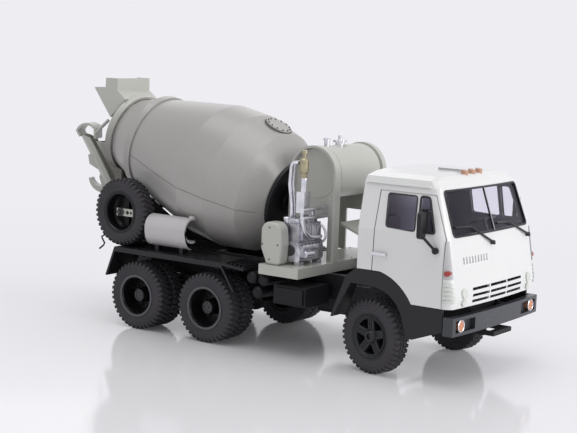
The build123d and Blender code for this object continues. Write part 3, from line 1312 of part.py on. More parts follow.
# Battery box on the right and fuel tank on the left, each on brackets at the frame
box_x0, box_x1, box_z0, box_z1 = -39.6, -26.9, 16.9, 23.2
fuel_x0, fuel_x1, fuel_z0, fuel_z1 = -45.0, -22.0, 12.6, 24.0
with BuildPart() as side_boxes:
    box(box_x0, box_x1, -25.6, -12.0, box_z0, box_z1)
    box(box_x0 + 0.9, box_x1 - 0.9, -26.2, -25.6, box_z0 + 0.7, box_z1 - 0.7)
    for x in (box_x0 + 2, box_x1 - 3):
        box(x, x + 1.4, -12.0, -rail_y, rail_z, rail_top - 0.6)
    with BuildSketch(Plane.YZ.offset(fuel_x0)):
        with Locations((19.0, (fuel_z0 + fuel_z1) / 2)):
            RectangleRounded(14.0, fuel_z1 - fuel_z0, 2.6)
    extrude(amount=fuel_x1 - fuel_x0)
    for x in (fuel_x0 + 4, fuel_x1 - 5.6):
        with BuildSketch(Plane.YZ.offset(x)):
            with Locations((19.0, (fuel_z0 + fuel_z1) / 2)):
                RectangleRounded(14.8, fuel_z1 - fuel_z0 + 0.8, 3.0)
        extrude(amount=1.6)
        box(x, x + 1.6, rail_y, 12.2, rail_z, rail_top - 0.6)
    rod((-26.0, 19, fuel_z1), (-26.0, 19, fuel_z1 + 1.2), 1.5)
keep(side_boxes.part, "side_boxes")
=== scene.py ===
"""A 1:43 display model of a three-axle concrete mixer truck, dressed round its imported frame.

X runs forward, Y to the truck's left and Z up, with the floor at Z = 0. Blender works in metres.
Sizes here are in millimetres from the front axle, and mm turns them into metres. The file follows
the truck as it is put together: view and light, chassis, wheels, cab, mixer gear, drum, rear end.
"""

from math import cos, pi, radians, sin

import bmesh
import bpy
import numpy as np
from mathutils import Matrix, Vector


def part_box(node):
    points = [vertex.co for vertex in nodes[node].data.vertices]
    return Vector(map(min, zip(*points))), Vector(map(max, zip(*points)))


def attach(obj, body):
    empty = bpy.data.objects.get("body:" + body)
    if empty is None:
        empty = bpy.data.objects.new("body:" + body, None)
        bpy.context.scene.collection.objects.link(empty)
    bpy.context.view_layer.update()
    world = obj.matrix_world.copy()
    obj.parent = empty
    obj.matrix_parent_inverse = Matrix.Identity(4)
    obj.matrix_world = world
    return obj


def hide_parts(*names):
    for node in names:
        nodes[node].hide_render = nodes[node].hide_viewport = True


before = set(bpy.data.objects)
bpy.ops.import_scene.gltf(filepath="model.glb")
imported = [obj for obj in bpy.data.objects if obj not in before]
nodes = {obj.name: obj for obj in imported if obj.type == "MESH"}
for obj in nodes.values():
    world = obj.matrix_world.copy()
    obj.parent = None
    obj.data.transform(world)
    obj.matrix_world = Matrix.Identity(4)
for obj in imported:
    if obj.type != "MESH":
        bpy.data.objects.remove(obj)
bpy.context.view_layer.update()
mm = 0.001
axle_low, axle_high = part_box("front_axle_beam")
axle_x = (axle_low.x + axle_high.x) / 2

# The photograph's view. A long lens looks down a little on the truck's right front corner, and
# leans by two degrees. The lens is given in pixels of the 577-pixel-wide photograph.
view_turn = radians(35.47)
view_drop = radians(7.35)
view_lean = radians(2.01)
view_aim = Vector((axle_x - 52.93 * mm, 0, 41.82 * mm))
view_distance = 473.87 * mm
lens_px = 1375.4
photo_px = 577
sensor = 36.0
nearest, farthest = 10 * mm, 20

back = Vector((sin(view_turn) * cos(view_drop), -cos(view_turn) * cos(view_drop), sin(view_drop)))
right = Vector((cos(view_turn), sin(view_turn), 0))
up = back.cross(right)
leaning_right = cos(view_lean) * right + sin(view_lean) * up
leaning_up = cos(view_lean) * up - sin(view_lean) * right
lens = bpy.data.cameras.new("photo_view")
lens.sensor_width = sensor
lens.lens = lens_px * sensor / photo_px
lens.clip_start = nearest
lens.clip_end = farthest
camera = bpy.data.objects.new("photo_view", lens)
bpy.context.collection.objects.link(camera)
turned_axes = Matrix((leaning_right, leaning_up, back)).transposed().to_4x4()
camera.matrix_world = Matrix.Translation(view_aim + back * view_distance) @ turned_axes
bpy.context.scene.camera = camera
bpy.context.scene.view_settings.view_transform = "Standard"

# Studio. Four soft boxes over a pale floor that fades into a backdrop of the same colour. The sky
# is the backdrop to the camera and to gloss, and a plain pale light to the rest.
backdrop = (0.855, 0.850, 0.890, 1)
sky_light = 0.48
lit_point = Vector((0, 0, 40 * mm))
soft_boxes = [
    # name, place, width, height, power
    ("front_box", (0.80, 0.12, 0.26), 0.50, 0.35, 3.0),
    ("top_box", (-0.10, -0.10, 0.95), 0.90, 0.60, 3.0),
    ("side_box", (-0.35, -0.90, 0.40), 0.60, 0.50, 0.35),
    ("back_box", (-0.60, 0.60, 0.50), 0.50, 0.50, 0.4),
]
for name, place, width, height, power in soft_boxes:
    light = bpy.data.lights.new(name, "AREA")
    light.shape = "RECTANGLE"
    light.size, light.size_y = width, height
    light.energy = power
    lamp = bpy.data.objects.new(name, light)
    bpy.context.collection.objects.link(lamp)
    lamp.location = place
    lamp.rotation_euler = (Vector(place) - lit_point).to_track_quat("Z", "Y").to_euler()


def linked(tree, kind, **links):
    """A new node whose inputs are linked to sockets or set to plain values. Names use _ for a space,
    and a letter with a number stands for the input at that place."""
    node = tree.nodes.new(kind)
    for name, value in links.items():
        socket = node.inputs[int(name[1:])] if name[1:].isdigit() else node.inputs[name.replace("_", " ")]
        if isinstance(value, bpy.types.NodeSocket):
            tree.links.new(value, socket)
        else:
            socket.default_value = value
    return node


def math(tree, operation, a, b=0.0, c=0.0, clamp=False):
    """One Math node's result."""
    node = linked(tree, "ShaderNodeMath", i0=a, i1=b, i2=c)
    node.operation = operation
    node.use_clamp = clamp
    return node.outputs[0]


def seen_or_mirrored(tree):
    """1 for the camera, for gloss and for glass, and 0 for the light that falls on things."""
    path = tree.nodes.new("ShaderNodeLightPath").outputs
    direct = math(tree, "MAXIMUM", path["Is Camera Ray"], path["Is Transmission Ray"])
    return math(tree, "MAXIMUM", direct, path["Is Glossy Ray"])


world = bpy.data.worlds.new("studio")
bpy.context.scene.world = world
world.use_nodes = True
tree = world.node_tree
tree.nodes.clear()
seen = linked(tree, "ShaderNodeBackground", Color=backdrop).outputs[0]
lit = linked(tree, "ShaderNodeBackground", Color=(1, 1, 1, 1), Strength=sky_light).outputs[0]
sky = linked(tree, "ShaderNodeMixShader", Fac=seen_or_mirrored(tree), i1=lit, i2=seen).outputs[0]
linked(tree, "ShaderNodeOutputWorld", Surface=sky)

weld_gap = 0.002 * mm


def surface(name, grid, closed_u=False, closed_v=False, crease=32):
    """A mesh object from an array (..., rows, columns, 3), one face between each four neighbours. Leading
    axes are copies. Rows or columns join up where the shape closes, points that coincide become one,
    faces turn outwards, and edges sharper than crease degrees stay sharp."""
    rows, columns = grid.shape[-3:-1]
    copies = grid.reshape(-1, rows * columns, 3)
    index = np.arange(rows * columns).reshape(rows, columns)
    if closed_u:
        index = np.vstack([index, index[:1]])
    if closed_v:
        index = np.hstack([index, index[:, :1]])
    quads = np.stack([index[:-1, :-1], index[1:, :-1], index[1:, 1:], index[:-1, 1:]], -1).reshape(-1, 4)
    quads = quads + (np.arange(len(copies)) * rows * columns)[:, None, None]
    mesh = bpy.data.meshes.new(name)
    mesh.from_pydata(copies.reshape(-1, 3).tolist(), [], quads.reshape(-1, 4).tolist())
    work = bmesh.new()
    work.from_mesh(mesh)
    bmesh.ops.remove_doubles(work, verts=work.verts, dist=weld_gap)
    bmesh.ops.recalc_face_normals(work, faces=work.faces)
    work.to_mesh(mesh)
    work.free()
    mesh.shade_smooth()
    mesh.set_sharp_from_angle(angle=radians(crease))
    piece = bpy.data.objects.new(name, mesh)
    bpy.context.collection.objects.link(piece)
    return piece


def floor_disc(radius, rings=12, sides=64):
    """The floor: rings of points at z = 0, their radii growing with the square of the ring's number."""
    r = radius * (np.arange(rings) / (rings - 1)) ** 2
    turn = np.linspace(0, 2 * pi, sides, endpoint=False)
    return np.stack([r[:, None] * np.cos(turn), r[:, None] * np.sin(turn), np.zeros((rings, sides))], -1)


floor_radius = 8.0
fade_start, fade_end = 0.04, 0.38
glow_at_truck = 0.03
floor = surface("floor", floor_disc(floor_radius), closed_v=True)
floor_look = bpy.data.materials.new("pale_floor")
floor_look.use_nodes = True
tree = floor_look.node_tree
floor_paint = tree.nodes["Principled BSDF"]
floor_paint.inputs["Base Color"].default_value = (0.93, 0.92, 0.95, 1)
floor_paint.inputs["Roughness"].default_value = 0.1
floor_paint.inputs["Specular IOR Level"].default_value = 0.5
place = tree.nodes.new("ShaderNodeTexCoord").outputs["Object"]
away = linked(tree, "ShaderNodeVectorMath", i0=place)
away.operation = "LENGTH"
fade = linked(tree, "ShaderNodeMapRange", Value=away.outputs["Value"], From_Min=fade_start,
              From_Max=fade_end, To_Min=glow_at_truck, To_Max=1.0)
glow = linked(tree, "ShaderNodeEmission", Color=backdrop).outputs[0]
share = math(tree, "MULTIPLY", fade.outputs[0], seen_or_mirrored(tree))
mixed = linked(tree, "ShaderNodeMixShader", Fac=share, i1=floor_paint.outputs[0], i2=glow).outputs[0]
tree.links.new(mixed, tree.nodes["Material Output"].inputs["Surface"])
floor.data.materials.append(floor_look)

# Chassis. Two channel rails, a front beam axle on leaf springs, and two driven axles on one
# rocking leaf pack a side. All of it is moulded and sprayed a satin black, with rivets in the rails.
rivet_profile = [(-0.1, 0.42), (0.12, 0.42), (0.26, 0.28), (0.3, 0)]
rivet_x = np.arange(-118.0, 22.0, 4.0)
rivet_z = (19.6, 22.0)
rail_outside = 10.0


def sockets(group, inputs, outputs):
    """Gives a node group its named inputs, each with a value, and its named outputs."""
    kinds = {float: "NodeSocketFloat", tuple: "NodeSocketColor"}
    for name, value in inputs.items():
        socket = group.interface.new_socket(name, in_out="INPUT", socket_type=kinds[type(value)])
        socket.default_value = value
    for name, kind in outputs.items():
        group.interface.new_socket(name, in_out="OUTPUT", socket_type=kinds[kind])


def blend_colour(tree, share, a, b):
    """The colour a (1 - share) + b share."""
    node = tree.nodes.new("ShaderNodeMix")
    node.data_type = "RGBA"
    for socket, value in ((node.inputs[0], share), (node.inputs[6], a), (node.inputs[7], b)):
        if isinstance(value, bpy.types.NodeSocket):
            tree.links.new(value, socket)
        else:
            socket.default_value = value
    return node.outputs[2]


def sprayed_group():
    """Sprayed paint: broad soft patches of a second shade, finer specks in the gloss, and the slight
    waviness of a thin coat as a height."""
    group = bpy.data.node_groups.new("sprayed_coat", "ShaderNodeTree")
    sockets(group, {"Paint": (1.0, 1.0, 1.0, 1.0), "Shade": (0.8, 0.8, 0.8, 1.0), "Patches": 60.0,
                    "Grain": 2500.0, "Smooth": 0.3, "Spread": 0.1},
            {"Color": tuple, "Roughness": float, "Height": float})
    given = group.nodes.new("NodeGroupInput").outputs
    place = group.nodes.new("ShaderNodeTexCoord").outputs["Object"]
    broad = linked(group, "ShaderNodeTexNoise", Vector=place, Scale=given["Patches"], Detail=4.0)
    fine = linked(group, "ShaderNodeTexNoise", Vector=place, Scale=given["Grain"], Detail=2.0)
    patch = broad.outputs["Fac"]
    grain = fine.outputs["Fac"]
    contrast, offset = 1.6, -0.35
    share = math(group, "MULTIPLY_ADD", patch, contrast, offset, clamp=True)
    colour = blend_colour(group, share, given["Paint"], given["Shade"])
    wander = math(group, "MULTIPLY", math(group, "SUBTRACT", patch, 0.5), given["Spread"])
    fleck = math(group, "MULTIPLY", math(group, "SUBTRACT", grain, 0.5), given["Spread"])
    rough = math(group, "ADD", given["Smooth"], math(group, "ADD", wander, fleck), clamp=True)
    result = group.nodes.new("NodeGroupOutput").inputs
    group.links.new(colour, result["Color"])
    group.links.new(rough, result["Roughness"])
    group.links.new(grain, result["Height"])
    return group


sprayed_coat = sprayed_group()


def colour_of(code):
    """A colour written as six hex digits of the screen's own scale, as linear red, green, blue, alpha."""
    parts = [int(code[i:i + 2], 16) / 255 for i in (0, 2, 4)]
    return (*[c / 12.92 if c <= 0.04045 else ((c + 0.055) / 1.055) ** 2.4 for c in parts], 1.0)


def sprayed(name, paint, shade, smooth, spread, patches=60.0, grain=2500.0, relief=0.01, **fixed):
    """A material with the sprayed coat. What is in fixed goes on the shader's own sockets."""
    look = bpy.data.materials.new(name)
    look.use_nodes = True
    tree = look.node_tree
    shader = tree.nodes["Principled BSDF"]
    coat = tree.nodes.new("ShaderNodeGroup")
    coat.name = "coat"
    coat.node_tree = sprayed_coat
    for socket, value in (("Paint", colour_of(paint)), ("Shade", colour_of(shade)), ("Patches", patches),
                          ("Grain", grain), ("Smooth", smooth), ("Spread", spread)):
        coat.inputs[socket].default_value = value
    bump = linked(tree, "ShaderNodeBump", Height=coat.outputs["Height"], Strength=0.3, Distance=relief * mm)
    tree.links.new(coat.outputs["Color"], shader.inputs["Base Color"])
    tree.links.new(coat.outputs["Roughness"], shader.inputs["Roughness"])
    tree.links.new(bump.outputs["Normal"], shader.inputs["Normal"])
    for socket, value in fixed.items():
        shader.inputs[socket.replace("_", " ")].default_value = value
    return look


def finish_in(look, *names):
    """Gives CAD nodes or new pieces a material in place of their own."""
    for name in names:
        piece = nodes[name] if isinstance(name, str) else name
        piece.data.materials.clear()
        piece.data.materials.append(look)


def turned(profile, steps):
    """A profile of (distance along X, radius) turned about X: rows follow the profile, columns the turn."""
    along, r = np.array(profile, float).T[:, :, None]
    turn = np.linspace(0, 2 * pi, steps, endpoint=False)
    return np.stack([along + 0 * turn, r * np.cos(turn), r * np.sin(turn)], -1)


def in_frame(points):
    """Millimetres from the front axle, as metres in the truck's frame."""
    return points * mm + np.array([axle_x, 0, 0])


def placed(grid, places, direction):
    """A copy of a shape made about the origin at each place, its X turned to the direction: a point
    (x, y, z) goes to place + x ahead + y side + z (ahead x side)."""
    places = np.atleast_2d(np.array(places, float))
    ahead = np.broadcast_to(np.array(direction, float), places.shape)
    ahead = ahead / np.linalg.norm(ahead, axis=1, keepdims=True)
    upright = np.where(abs(ahead[:, 2:]) < 0.9, (0.0, 0.0, 1.0), (0.0, 1.0, 0.0))
    side = np.cross(upright, ahead)
    side = side / np.linalg.norm(side, axis=1, keepdims=True)
    basis = np.stack([ahead, side, np.cross(ahead, side)], 1)
    return in_frame(np.einsum("rck,nkj->nrcj", grid, basis) + places[:, None, None, :])


frame_black = sprayed("frame_black", "161518", "222125", 0.45, 0.16, relief=0.02, Specular_IOR_Level=0.22)
finish_in(frame_black, "chassis_frame", "front_axle_beam", "front_springs", "knuckle_right",
          "knuckle_left", "tie_rod", "middle_axle_housing", "rear_axle_housing", "rear_suspension",
          "driveline", "air_tanks", "side_boxes", "drum_front_stand", "drum_rear_stand",
          "drum_rollers", "spare_carrier", "drum_front_ring")

rivet_sides = []
for side in (-1, 1):
    places = [(x, side * rail_outside, z) for z in rivet_z for x in rivet_x]
    rivet_sides.append(placed(turned(rivet_profile, 8), places, (0, side, 0)))
rivets = surface("frame_rivets", np.concatenate(rivet_sides), closed_v=True)
finish_in(frame_black, rivets)
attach(rivets, "truck")

# Reaction rods, packing strips and stand gussets. Round rods tie both driven axles to the rocker
# brackets, a strip lies on each frame rail, and plates stiffen the drum's rear stand. All are black.
rod_y, rod_radius = 13.1, 1.3
rod_z = (17.5, 17.6, 17.9)
rod_spans = ((-94.5, -83.0), (-68.3, -79.8))
strip_length, strip_side, strip_bevel = 58.0, 2.4, 0.3
strip_places = [(-72.5, y, 26.7) for y in (-8.7, 8.7)]
gusset_outline = np.array([
    # the upper edge follows the drum's cone down and forward
    (-110.5, 46.8), (-106.0, 44.7), (-102.0, 42.2), (-98.0, 39.9), (-95.0, 38.1), (-92.0, 36.4),
    (-91.0, 35.8), (-91.0, 27.0), (-108.0, 27.0), (-110.5, 36.0),
])
gusset_y, gusset_half = 12.0, 0.35


def piped(path, radius, sides=10, up=(0, 0, 1), closed=False):
    """A round strip or pipe along a path: at each point a ring square to the path's direction there."""
    path = np.array(path, float)
    if closed:
        tangent = np.roll(path, -1, 0) - np.roll(path, 1, 0)
    else:
        tangent = np.gradient(path, axis=0)
    a = np.cross(tangent, up)
    a = a / np.linalg.norm(a, axis=1, keepdims=True)
    b = np.cross(tangent, a)
    b = b / np.linalg.norm(b, axis=1, keepdims=True)
    turn = np.linspace(0, 2 * pi, sides, endpoint=False)
    ring = a[:, None] * np.cos(turn)[:, None] + b[:, None] * np.sin(turn)[:, None]
    grid = path[:, None] + radius * ring
    if not closed:
        ends = [np.repeat(p[None, None], sides, 1) for p in (path[0], path[-1])]
        grid = np.concatenate([ends[0], grid, ends[1]])
    return in_frame(grid)


def rounded_loop(corners, r, steps=5):
    """A closed outline whose corners are cut back by r along both sides and joined by quadratic curves,
    start (1 - t)^2 + 2 corner t (1 - t) + end t^2."""
    here = np.array(corners, float)
    before, after = np.roll(here, 1, 0) - here, np.roll(here, -1, 0) - here
    start = here + r * before / np.linalg.norm(before, axis=1, keepdims=True)
    end = here + r * after / np.linalg.norm(after, axis=1, keepdims=True)
    t = np.linspace(0, 1, steps)[None, :, None]
    curve = start[:, None] * (1 - t) ** 2 + 2 * here[:, None] * t * (1 - t) + end[:, None] * t ** 2
    return curve.reshape(-1, here.shape[1])


def block(length, width, height, bevel):
    """A block about the origin with its long edges rounded: an outline carried along X and drawn in at
    both ends."""
    w, h = width / 2, height / 2
    outline = rounded_loop([(-w, -h), (w, -h), (w, h), (-w, h)], bevel, 3)
    inner = outline * (1 - bevel / np.array([w, h]))
    stations = [(-length / 2, 0 * outline), (-length / 2, inner), (-length / 2 + bevel, outline),
                (length / 2 - bevel, outline), (length / 2, inner), (length / 2, 0 * outline)]
    return np.stack([np.concatenate([np.full((len(o), 1), x), o], 1) for x, o in stations])


def plate(outline, start, end, axis):
    """A flat plate from start to end along one axis (0 is X, 1 is Y): the outline at both faces, each
    closed by its own middle."""
    middle = np.repeat(outline.mean(0)[None], len(outline), 0)
    stations = [(start, middle), (start, outline), (end, outline), (end, middle)]
    return in_frame(np.stack([np.insert(o, axis, level, axis=1) for level, o in stations]))


rod_runs = [[(x, y, z) for x, z in zip((x0, (x0 + x1) / 2, x1), rod_z)]
            for y in (-rod_y, rod_y) for x0, x1 in rod_spans]
rods = surface("reaction_rods", np.stack([piped(run, rod_radius, 16) for run in rod_runs]), closed_v=True)
strip_block = block(strip_length, strip_side, strip_side, strip_bevel)
strips = surface("packing_strips", placed(strip_block, strip_places, (1, 0, 0)), closed_v=True)
gusset_plates = [plate(gusset_outline, y - gusset_half, y + gusset_half, 1) for y in (-gusset_y, gusset_y)]
gussets = surface("stand_gussets", np.stack(gusset_plates), closed_v=True)
for piece in (rods, strips, gussets):
    finish_in(frame_black, piece)
    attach(piece, "truck")

# Tyres. Soft black rubber, cast in one piece, with a ring of square shoulder blocks on each side,
# a slanting middle row and fine rings on the side walls. Each is pressed on its rim.
tyre_blocks = 40
tyre_skin = [
    # across, radius of the blocks, then both again for the gaps between them
    (2.55, 7.05, 2.55, 7.05), (2.84, 7.25, 2.84, 7.25), (2.95, 7.55, 2.95, 7.55), (2.84, 7.80, 2.84, 7.80),
    (2.95, 8.15, 2.95, 8.15), (3.00, 8.70, 3.00, 8.70), (2.92, 8.85, 2.92, 8.85), (3.00, 9.00, 3.00, 9.00),
    (2.99, 9.60, 2.99, 9.60), (2.89, 9.75, 2.89, 9.75), (2.97, 9.90, 2.97, 9.90),
    (2.93, 10.35, 2.93, 10.35), (2.93, 10.45, 2.72, 10.45), (2.88, 11.00, 2.60, 10.90),
    (2.70, 11.50, 2.42, 11.05), (2.45, 11.75, 2.2, 11.15), (2.10, 11.80, 1.9, 11.18),
    (1.45, 11.80, 1.42, 11.20), (1.40, 11.20, 1.40, 11.20), (1.05, 11.20, 1.05, 11.20),
    (1.00, 11.78, 1.00, 11.35), (0.20, 11.80, 0.20, 11.40), (0.15, 11.25, 0.15, 11.25),
]
block_edges = np.array([0.0, 0.07, 0.32, 0.56, 0.63, 0.85])
block_mask = np.array([0.0, 1.0, 1.0, 1.0, 0.0, 0.0])
slant_share, slant_half = 0.5, 1.5


def tyre_shape():
    """The tyre about the Y axis: (across, radius) goes between its block and its gap values as the turn
    passes over a block, and the turn itself lags by a share of a block across the tread."""
    half = np.array(tyre_skin)
    skin = np.concatenate([half, half[::-1] * (-1, 1, -1, 1)])[:, None, :]
    mask = np.tile(block_mask, tyre_blocks)[:, None]
    turn = np.repeat(np.arange(tyre_blocks), len(block_edges)) + np.tile(block_edges, tyre_blocks)
    slant = slant_share * np.clip(skin[..., 0] / slant_half, -1, 1)
    turn = (turn + slant) * 2 * pi / tyre_blocks
    across, r = np.moveaxis(skin[..., :2] * mask + skin[..., 2:] * (1 - mask), -1, 0)
    return np.stack([r * np.sin(turn), across, r * np.cos(turn)], -1)


def on_wheel(grid, node, steer, offsets=(0.0,), side=1):
    """Copies of a shape made about the Y axis, set on a wheel node's middle and turned by steer about Z:
    (x cos - y sin, x sin + y cos, z)."""
    low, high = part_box(node)
    middle = np.array((low + high) / 2)
    c, s = cos(steer), sin(steer)
    copies = np.stack([grid * (1, side, 1) + (0, y, 0) for y in offsets])
    x, y, z = np.moveaxis(copies, -1, 0) * mm
    return np.stack([x * c - y * s, x * s + y * c, z], -1) + middle


rubber = sprayed("tyre_rubber", "3a383c", "464448", 0.6, 0.2, patches=120.0, relief=0.03,
                 Specular_IOR_Level=0.25)
steered = radians(-10.2)
twin_places = (-25.6, -18.7, 18.7, 25.6)
tyres = [
    # node, body, how far it is steered at rest, places across
    ("front_right_tyre", "front_wheel_right", steered, (0.0,)),
    ("front_left_tyre", "front_wheel_left", steered, (0.0,)),
    ("middle_tyres", "wheelset_middle", 0.0, twin_places),
    ("rear_tyres", "wheelset_rear", 0.0, twin_places),
    ("spare_tyre", "truck", 0.0, (0.0,)),
]
for node, body, steer, offsets in tyres:
    grid = on_wheel(tyre_shape(), node, steer, offsets)
    tyre = surface(f"treaded_{node}", grid, closed_u=True, closed_v=True)
    finish_in(rubber, tyre)
    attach(tyre, body)
    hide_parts(node)

# Front rims. Hard black plastic discs with five grooved spokes that stand proud of deep pockets, a
# rolled edge over the tyre's bead, and a hub with a sunk middle.
spoke_count = 5
spoke_half = 1.3
spoke_ribs = np.array([
    # share of the half width, height on the spoke
    (-1.0, 0.0), (-0.8, 0.22), (-0.5, 0.22), (-0.42, 0.0), (-0.2, 0.0), (-0.12, 0.22), (0.12, 0.22),
    (0.2, 0.0), (0.42, 0.0), (0.5, 0.22), (0.8, 0.22), (1.0, 0.0),
])
pocket_shares = np.linspace(0, 1, 7)
# near the hub, where a spoke is wider than the circle, its edges stop just short of the next spoke's
least_radius = 0.01
widest_sine, widest_share = 0.95, 0.98
rim_rows = np.array([
    # radius, height outwards on a spoke, height in a pocket, share of the ribs
    (0.0, 2.35, 2.35, 0), (0.95, 2.35, 2.35, 0), (1.0, 2.95, 2.95, 0), (1.75, 3.0, 3.0, 0),
    (2.05, 2.65, 2.65, 0), (2.3, 2.1, 2.1, 0.4), (2.6, 2.05, 2.05, 1), (2.6, 2.05, -0.9, 1),
    (4.2, 2.2, -0.9, 1), (5.6, 2.4, -0.9, 1), (5.6, 2.4, 2.4, 0.2), (5.9, 2.45, 2.45, 0),
    (6.1, 2.75, 2.75, 0), (6.5, 2.95, 2.95, 0), (6.65, 2.7, 2.7, 0), (6.85, 2.75, 2.75, 0),
    (7.0, 3.0, 3.0, 0), (7.35, 3.0, 3.0, 0), (7.4, 2.7, 2.7, 0), (7.02, 2.6, 2.6, 0),
    (7.02, -2.45, -2.45, 0), (6.2, -2.45, -2.45, 0), (6.2, -1.5, -1.5, 0), (0.0, -1.5, -1.5, 0),
])


def spoked_shape():
    """The rim about the Y axis. A column lies on a spoke, at a share of its width, or in a pocket, at a
    share of the way to the next spoke. A spoke's edge is at the angle arcsin(half width / radius)."""
    r, high, low, ribs = rim_rows.T[:, :, None]
    edge = np.arcsin(np.clip(spoke_half / np.maximum(r, least_radius), 0, widest_sine))
    edge = np.minimum(edge, widest_share * pi / spoke_count)
    on_spoke = edge * spoke_ribs[:, 0]
    in_pocket = edge + (2 * pi / spoke_count - 2 * edge) * pocket_shares
    turn = np.concatenate([on_spoke, in_pocket], 1)
    height = np.concatenate([high + ribs * spoke_ribs[:, 1], low + 0 * pocket_shares], 1)
    turn = np.concatenate([turn + 2 * pi * k / spoke_count for k in range(spoke_count)], 1)
    height = np.tile(height, spoke_count)
    return np.stack([r * np.sin(turn), height, r * np.cos(turn)], -1)


rim_black = sprayed("rim_black", "1d1e20", "2b2d30", 0.36, 0.14, Specular_IOR_Level=0.35)
for hand, side in (("right", -1), ("left", 1)):
    rim_shape = on_wheel(spoked_shape(), f"front_{hand}_tyre", steered, side=side)
    rim = surface(f"spoked_front_{hand}_rim", rim_shape, closed_v=True)
    finish_in(rim_black, rim)
    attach(rim, f"front_wheel_{hand}")
    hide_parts(f"front_{hand}_rim")

# Rear rims. Deep black dishes whose hubs end in a flanged cap with eight small bolts, and ten wheel
# nuts round the foot of the dish. The rolled edge is coloured a dull grey as a painted sheen.
dish_black = sprayed("dish_black", "131315", "1d1d20", 0.3, 0.12, Specular_IOR_Level=0.3)
finish_in(dish_black, "middle_rims", "rear_rims", "spare_rim")
# Painted sheen: the rolled rim edges are coloured grey to stand for light glinting on the black edge.
edge_sheen_grey = sprayed("painted_sheen_edge", "55555a", "47474c", 0.3, 0.15)
hub_grey = sprayed("hub_grey", "3c3d41", "2e2f33", 0.36, 0.15)
cap_profile = [(0, 2.05), (0.15, 2.1), (0.4, 2.05), (0.5, 1.8), (0.5, 1.25), (0.3, 1.15), (0.3, 0.6),
               (0.55, 0.5), (0.6, 0)]
edge_profile = [(-0.1, 6.55), (0.06, 6.6), (0.14, 6.95), (0.1, 7.35), (-0.1, 7.4)]
bolt_profile = [(-0.1, 0.26), (0.28, 0.26), (0.36, 0.14), (0.36, 0)]
nut_profile = [(-0.1, 0.42), (0.5, 0.42), (0.62, 0.25), (0.8, 0.22), (0.8, 0)]
hub_face, dish_face, lip_face = 26.5, 22.7, 28.6
cap_flange = 0.45
driven_axles = [("middle", -66.05), ("rear", -96.75)]
axle_z = 11.8
wheel_trim = [
    # label, profile, steps of its turn, count, radius of their circle, distance across, material
    ("caps", cap_profile, 32, 1, 0.0, hub_face, hub_grey),
    ("cap_bolts", bolt_profile, 6, 8, 1.55, hub_face + cap_flange, hub_grey),
    ("wheel_nuts", nut_profile, 6, 10, 4.2, dish_face, hub_grey),
    ("rim_edges", edge_profile, 96, 1, 0.0, lip_face, edge_sheen_grey),
]
for name, x in driven_axles:
    for label, profile, steps, count, r, face, look in wheel_trim:
        turn = np.arange(count) * 2 * pi / count
        copies = []
        for side in (-1, 1):
            circle = np.stack([x + r * np.sin(turn), side * face + 0 * turn, axle_z + r * np.cos(turn)], 1)
            copies.append(placed(turned(profile, steps), circle, (0, side, 0)))
        piece = surface(f"{name}_{label}", np.concatenate(copies), closed_v=True)
        finish_in(look, piece)
        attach(piece, f"wheelset_{name}")

# Cab. One moulded shell sprayed gloss white, its lining left a dull lilac grey with painted shade that
# darkens it towards the truck's right side. The seams of the doors and the vents are pressed in.
cab_middle = (axle_x + 9 * mm, 0, 46 * mm)
faces_in, faces_out = -2 * mm, 1 * mm
painted_shade_dark_y, painted_shade_clear_y = -14 * mm, 4 * mm


def along(tree, axis):
    """How far a point lies along X, Y or Z of the truck's frame, in metres."""
    place = tree.nodes.new("ShaderNodeTexCoord").outputs["Object"]
    return linked(tree, "ShaderNodeSeparateXYZ", Vector=place).outputs[axis]


def over_coat(look, share, colour):
    """Lays a colour over a material's sprayed coat, by a share from 0 to 1."""
    tree = look.node_tree
    mixed = blend_colour(tree, share, tree.nodes["coat"].outputs["Color"], colour)
    tree.links.new(mixed, tree.nodes["Principled BSDF"].inputs["Base Color"])


cab_white = sprayed("cab_white", "ececec", "e5e6e6", 0.24, 0.08, patches=30.0, Coat_Weight=0.4,
                    Coat_Roughness=0.1)
tree = cab_white.node_tree
place = tree.nodes.new("ShaderNodeTexCoord").outputs
outward = linked(tree, "ShaderNodeVectorMath", i0=place["Object"], i1=cab_middle)
outward.operation = "SUBTRACT"
facing = linked(tree, "ShaderNodeVectorMath", i0=outward.outputs[0], i1=place["Normal"])
facing.operation = "DOT_PRODUCT"
inside = linked(tree, "ShaderNodeMapRange", Value=facing.outputs["Value"], From_Min=faces_in,
                From_Max=faces_out, To_Min=1.0, To_Max=0.0).outputs[0]
# Painted shade: the lining's grey goes darker towards the truck's right side, where the cab's inside lies
# in shadow.
painted_shade_lifting = linked(tree, "ShaderNodeMapRange", Value=along(tree, "Y"), From_Min=painted_shade_dark_y,
                 From_Max=painted_shade_clear_y).outputs[0]
lining_grey_painted_shade = blend_colour(tree, painted_shade_lifting, colour_of("47444c"), colour_of("8f8c9a"))
over_coat(cab_white, inside, lining_grey_painted_shade)
finish_in(cab_white, "cab_shell")
inside_grey = sprayed("inside_grey", "4b4852", "403d46", 0.5, 0.1)
finish_in(inside_grey, "cab_interior", "steering_wheel")

# Glazing. Thin clear mouldings with a faint lilac tint, pressed into the window openings from
# inside. Dark rubber strips frame the side windows, and a pale one parts the windscreen.
glazing = sprayed("lilac_glazing", "f6f5fb", "f0eff6", 0.03, 0.02, relief=0.001,
                  Transmission_Weight=1.0, IOR=1.15)
finish_in(glazing, "windscreen", "side_windows")

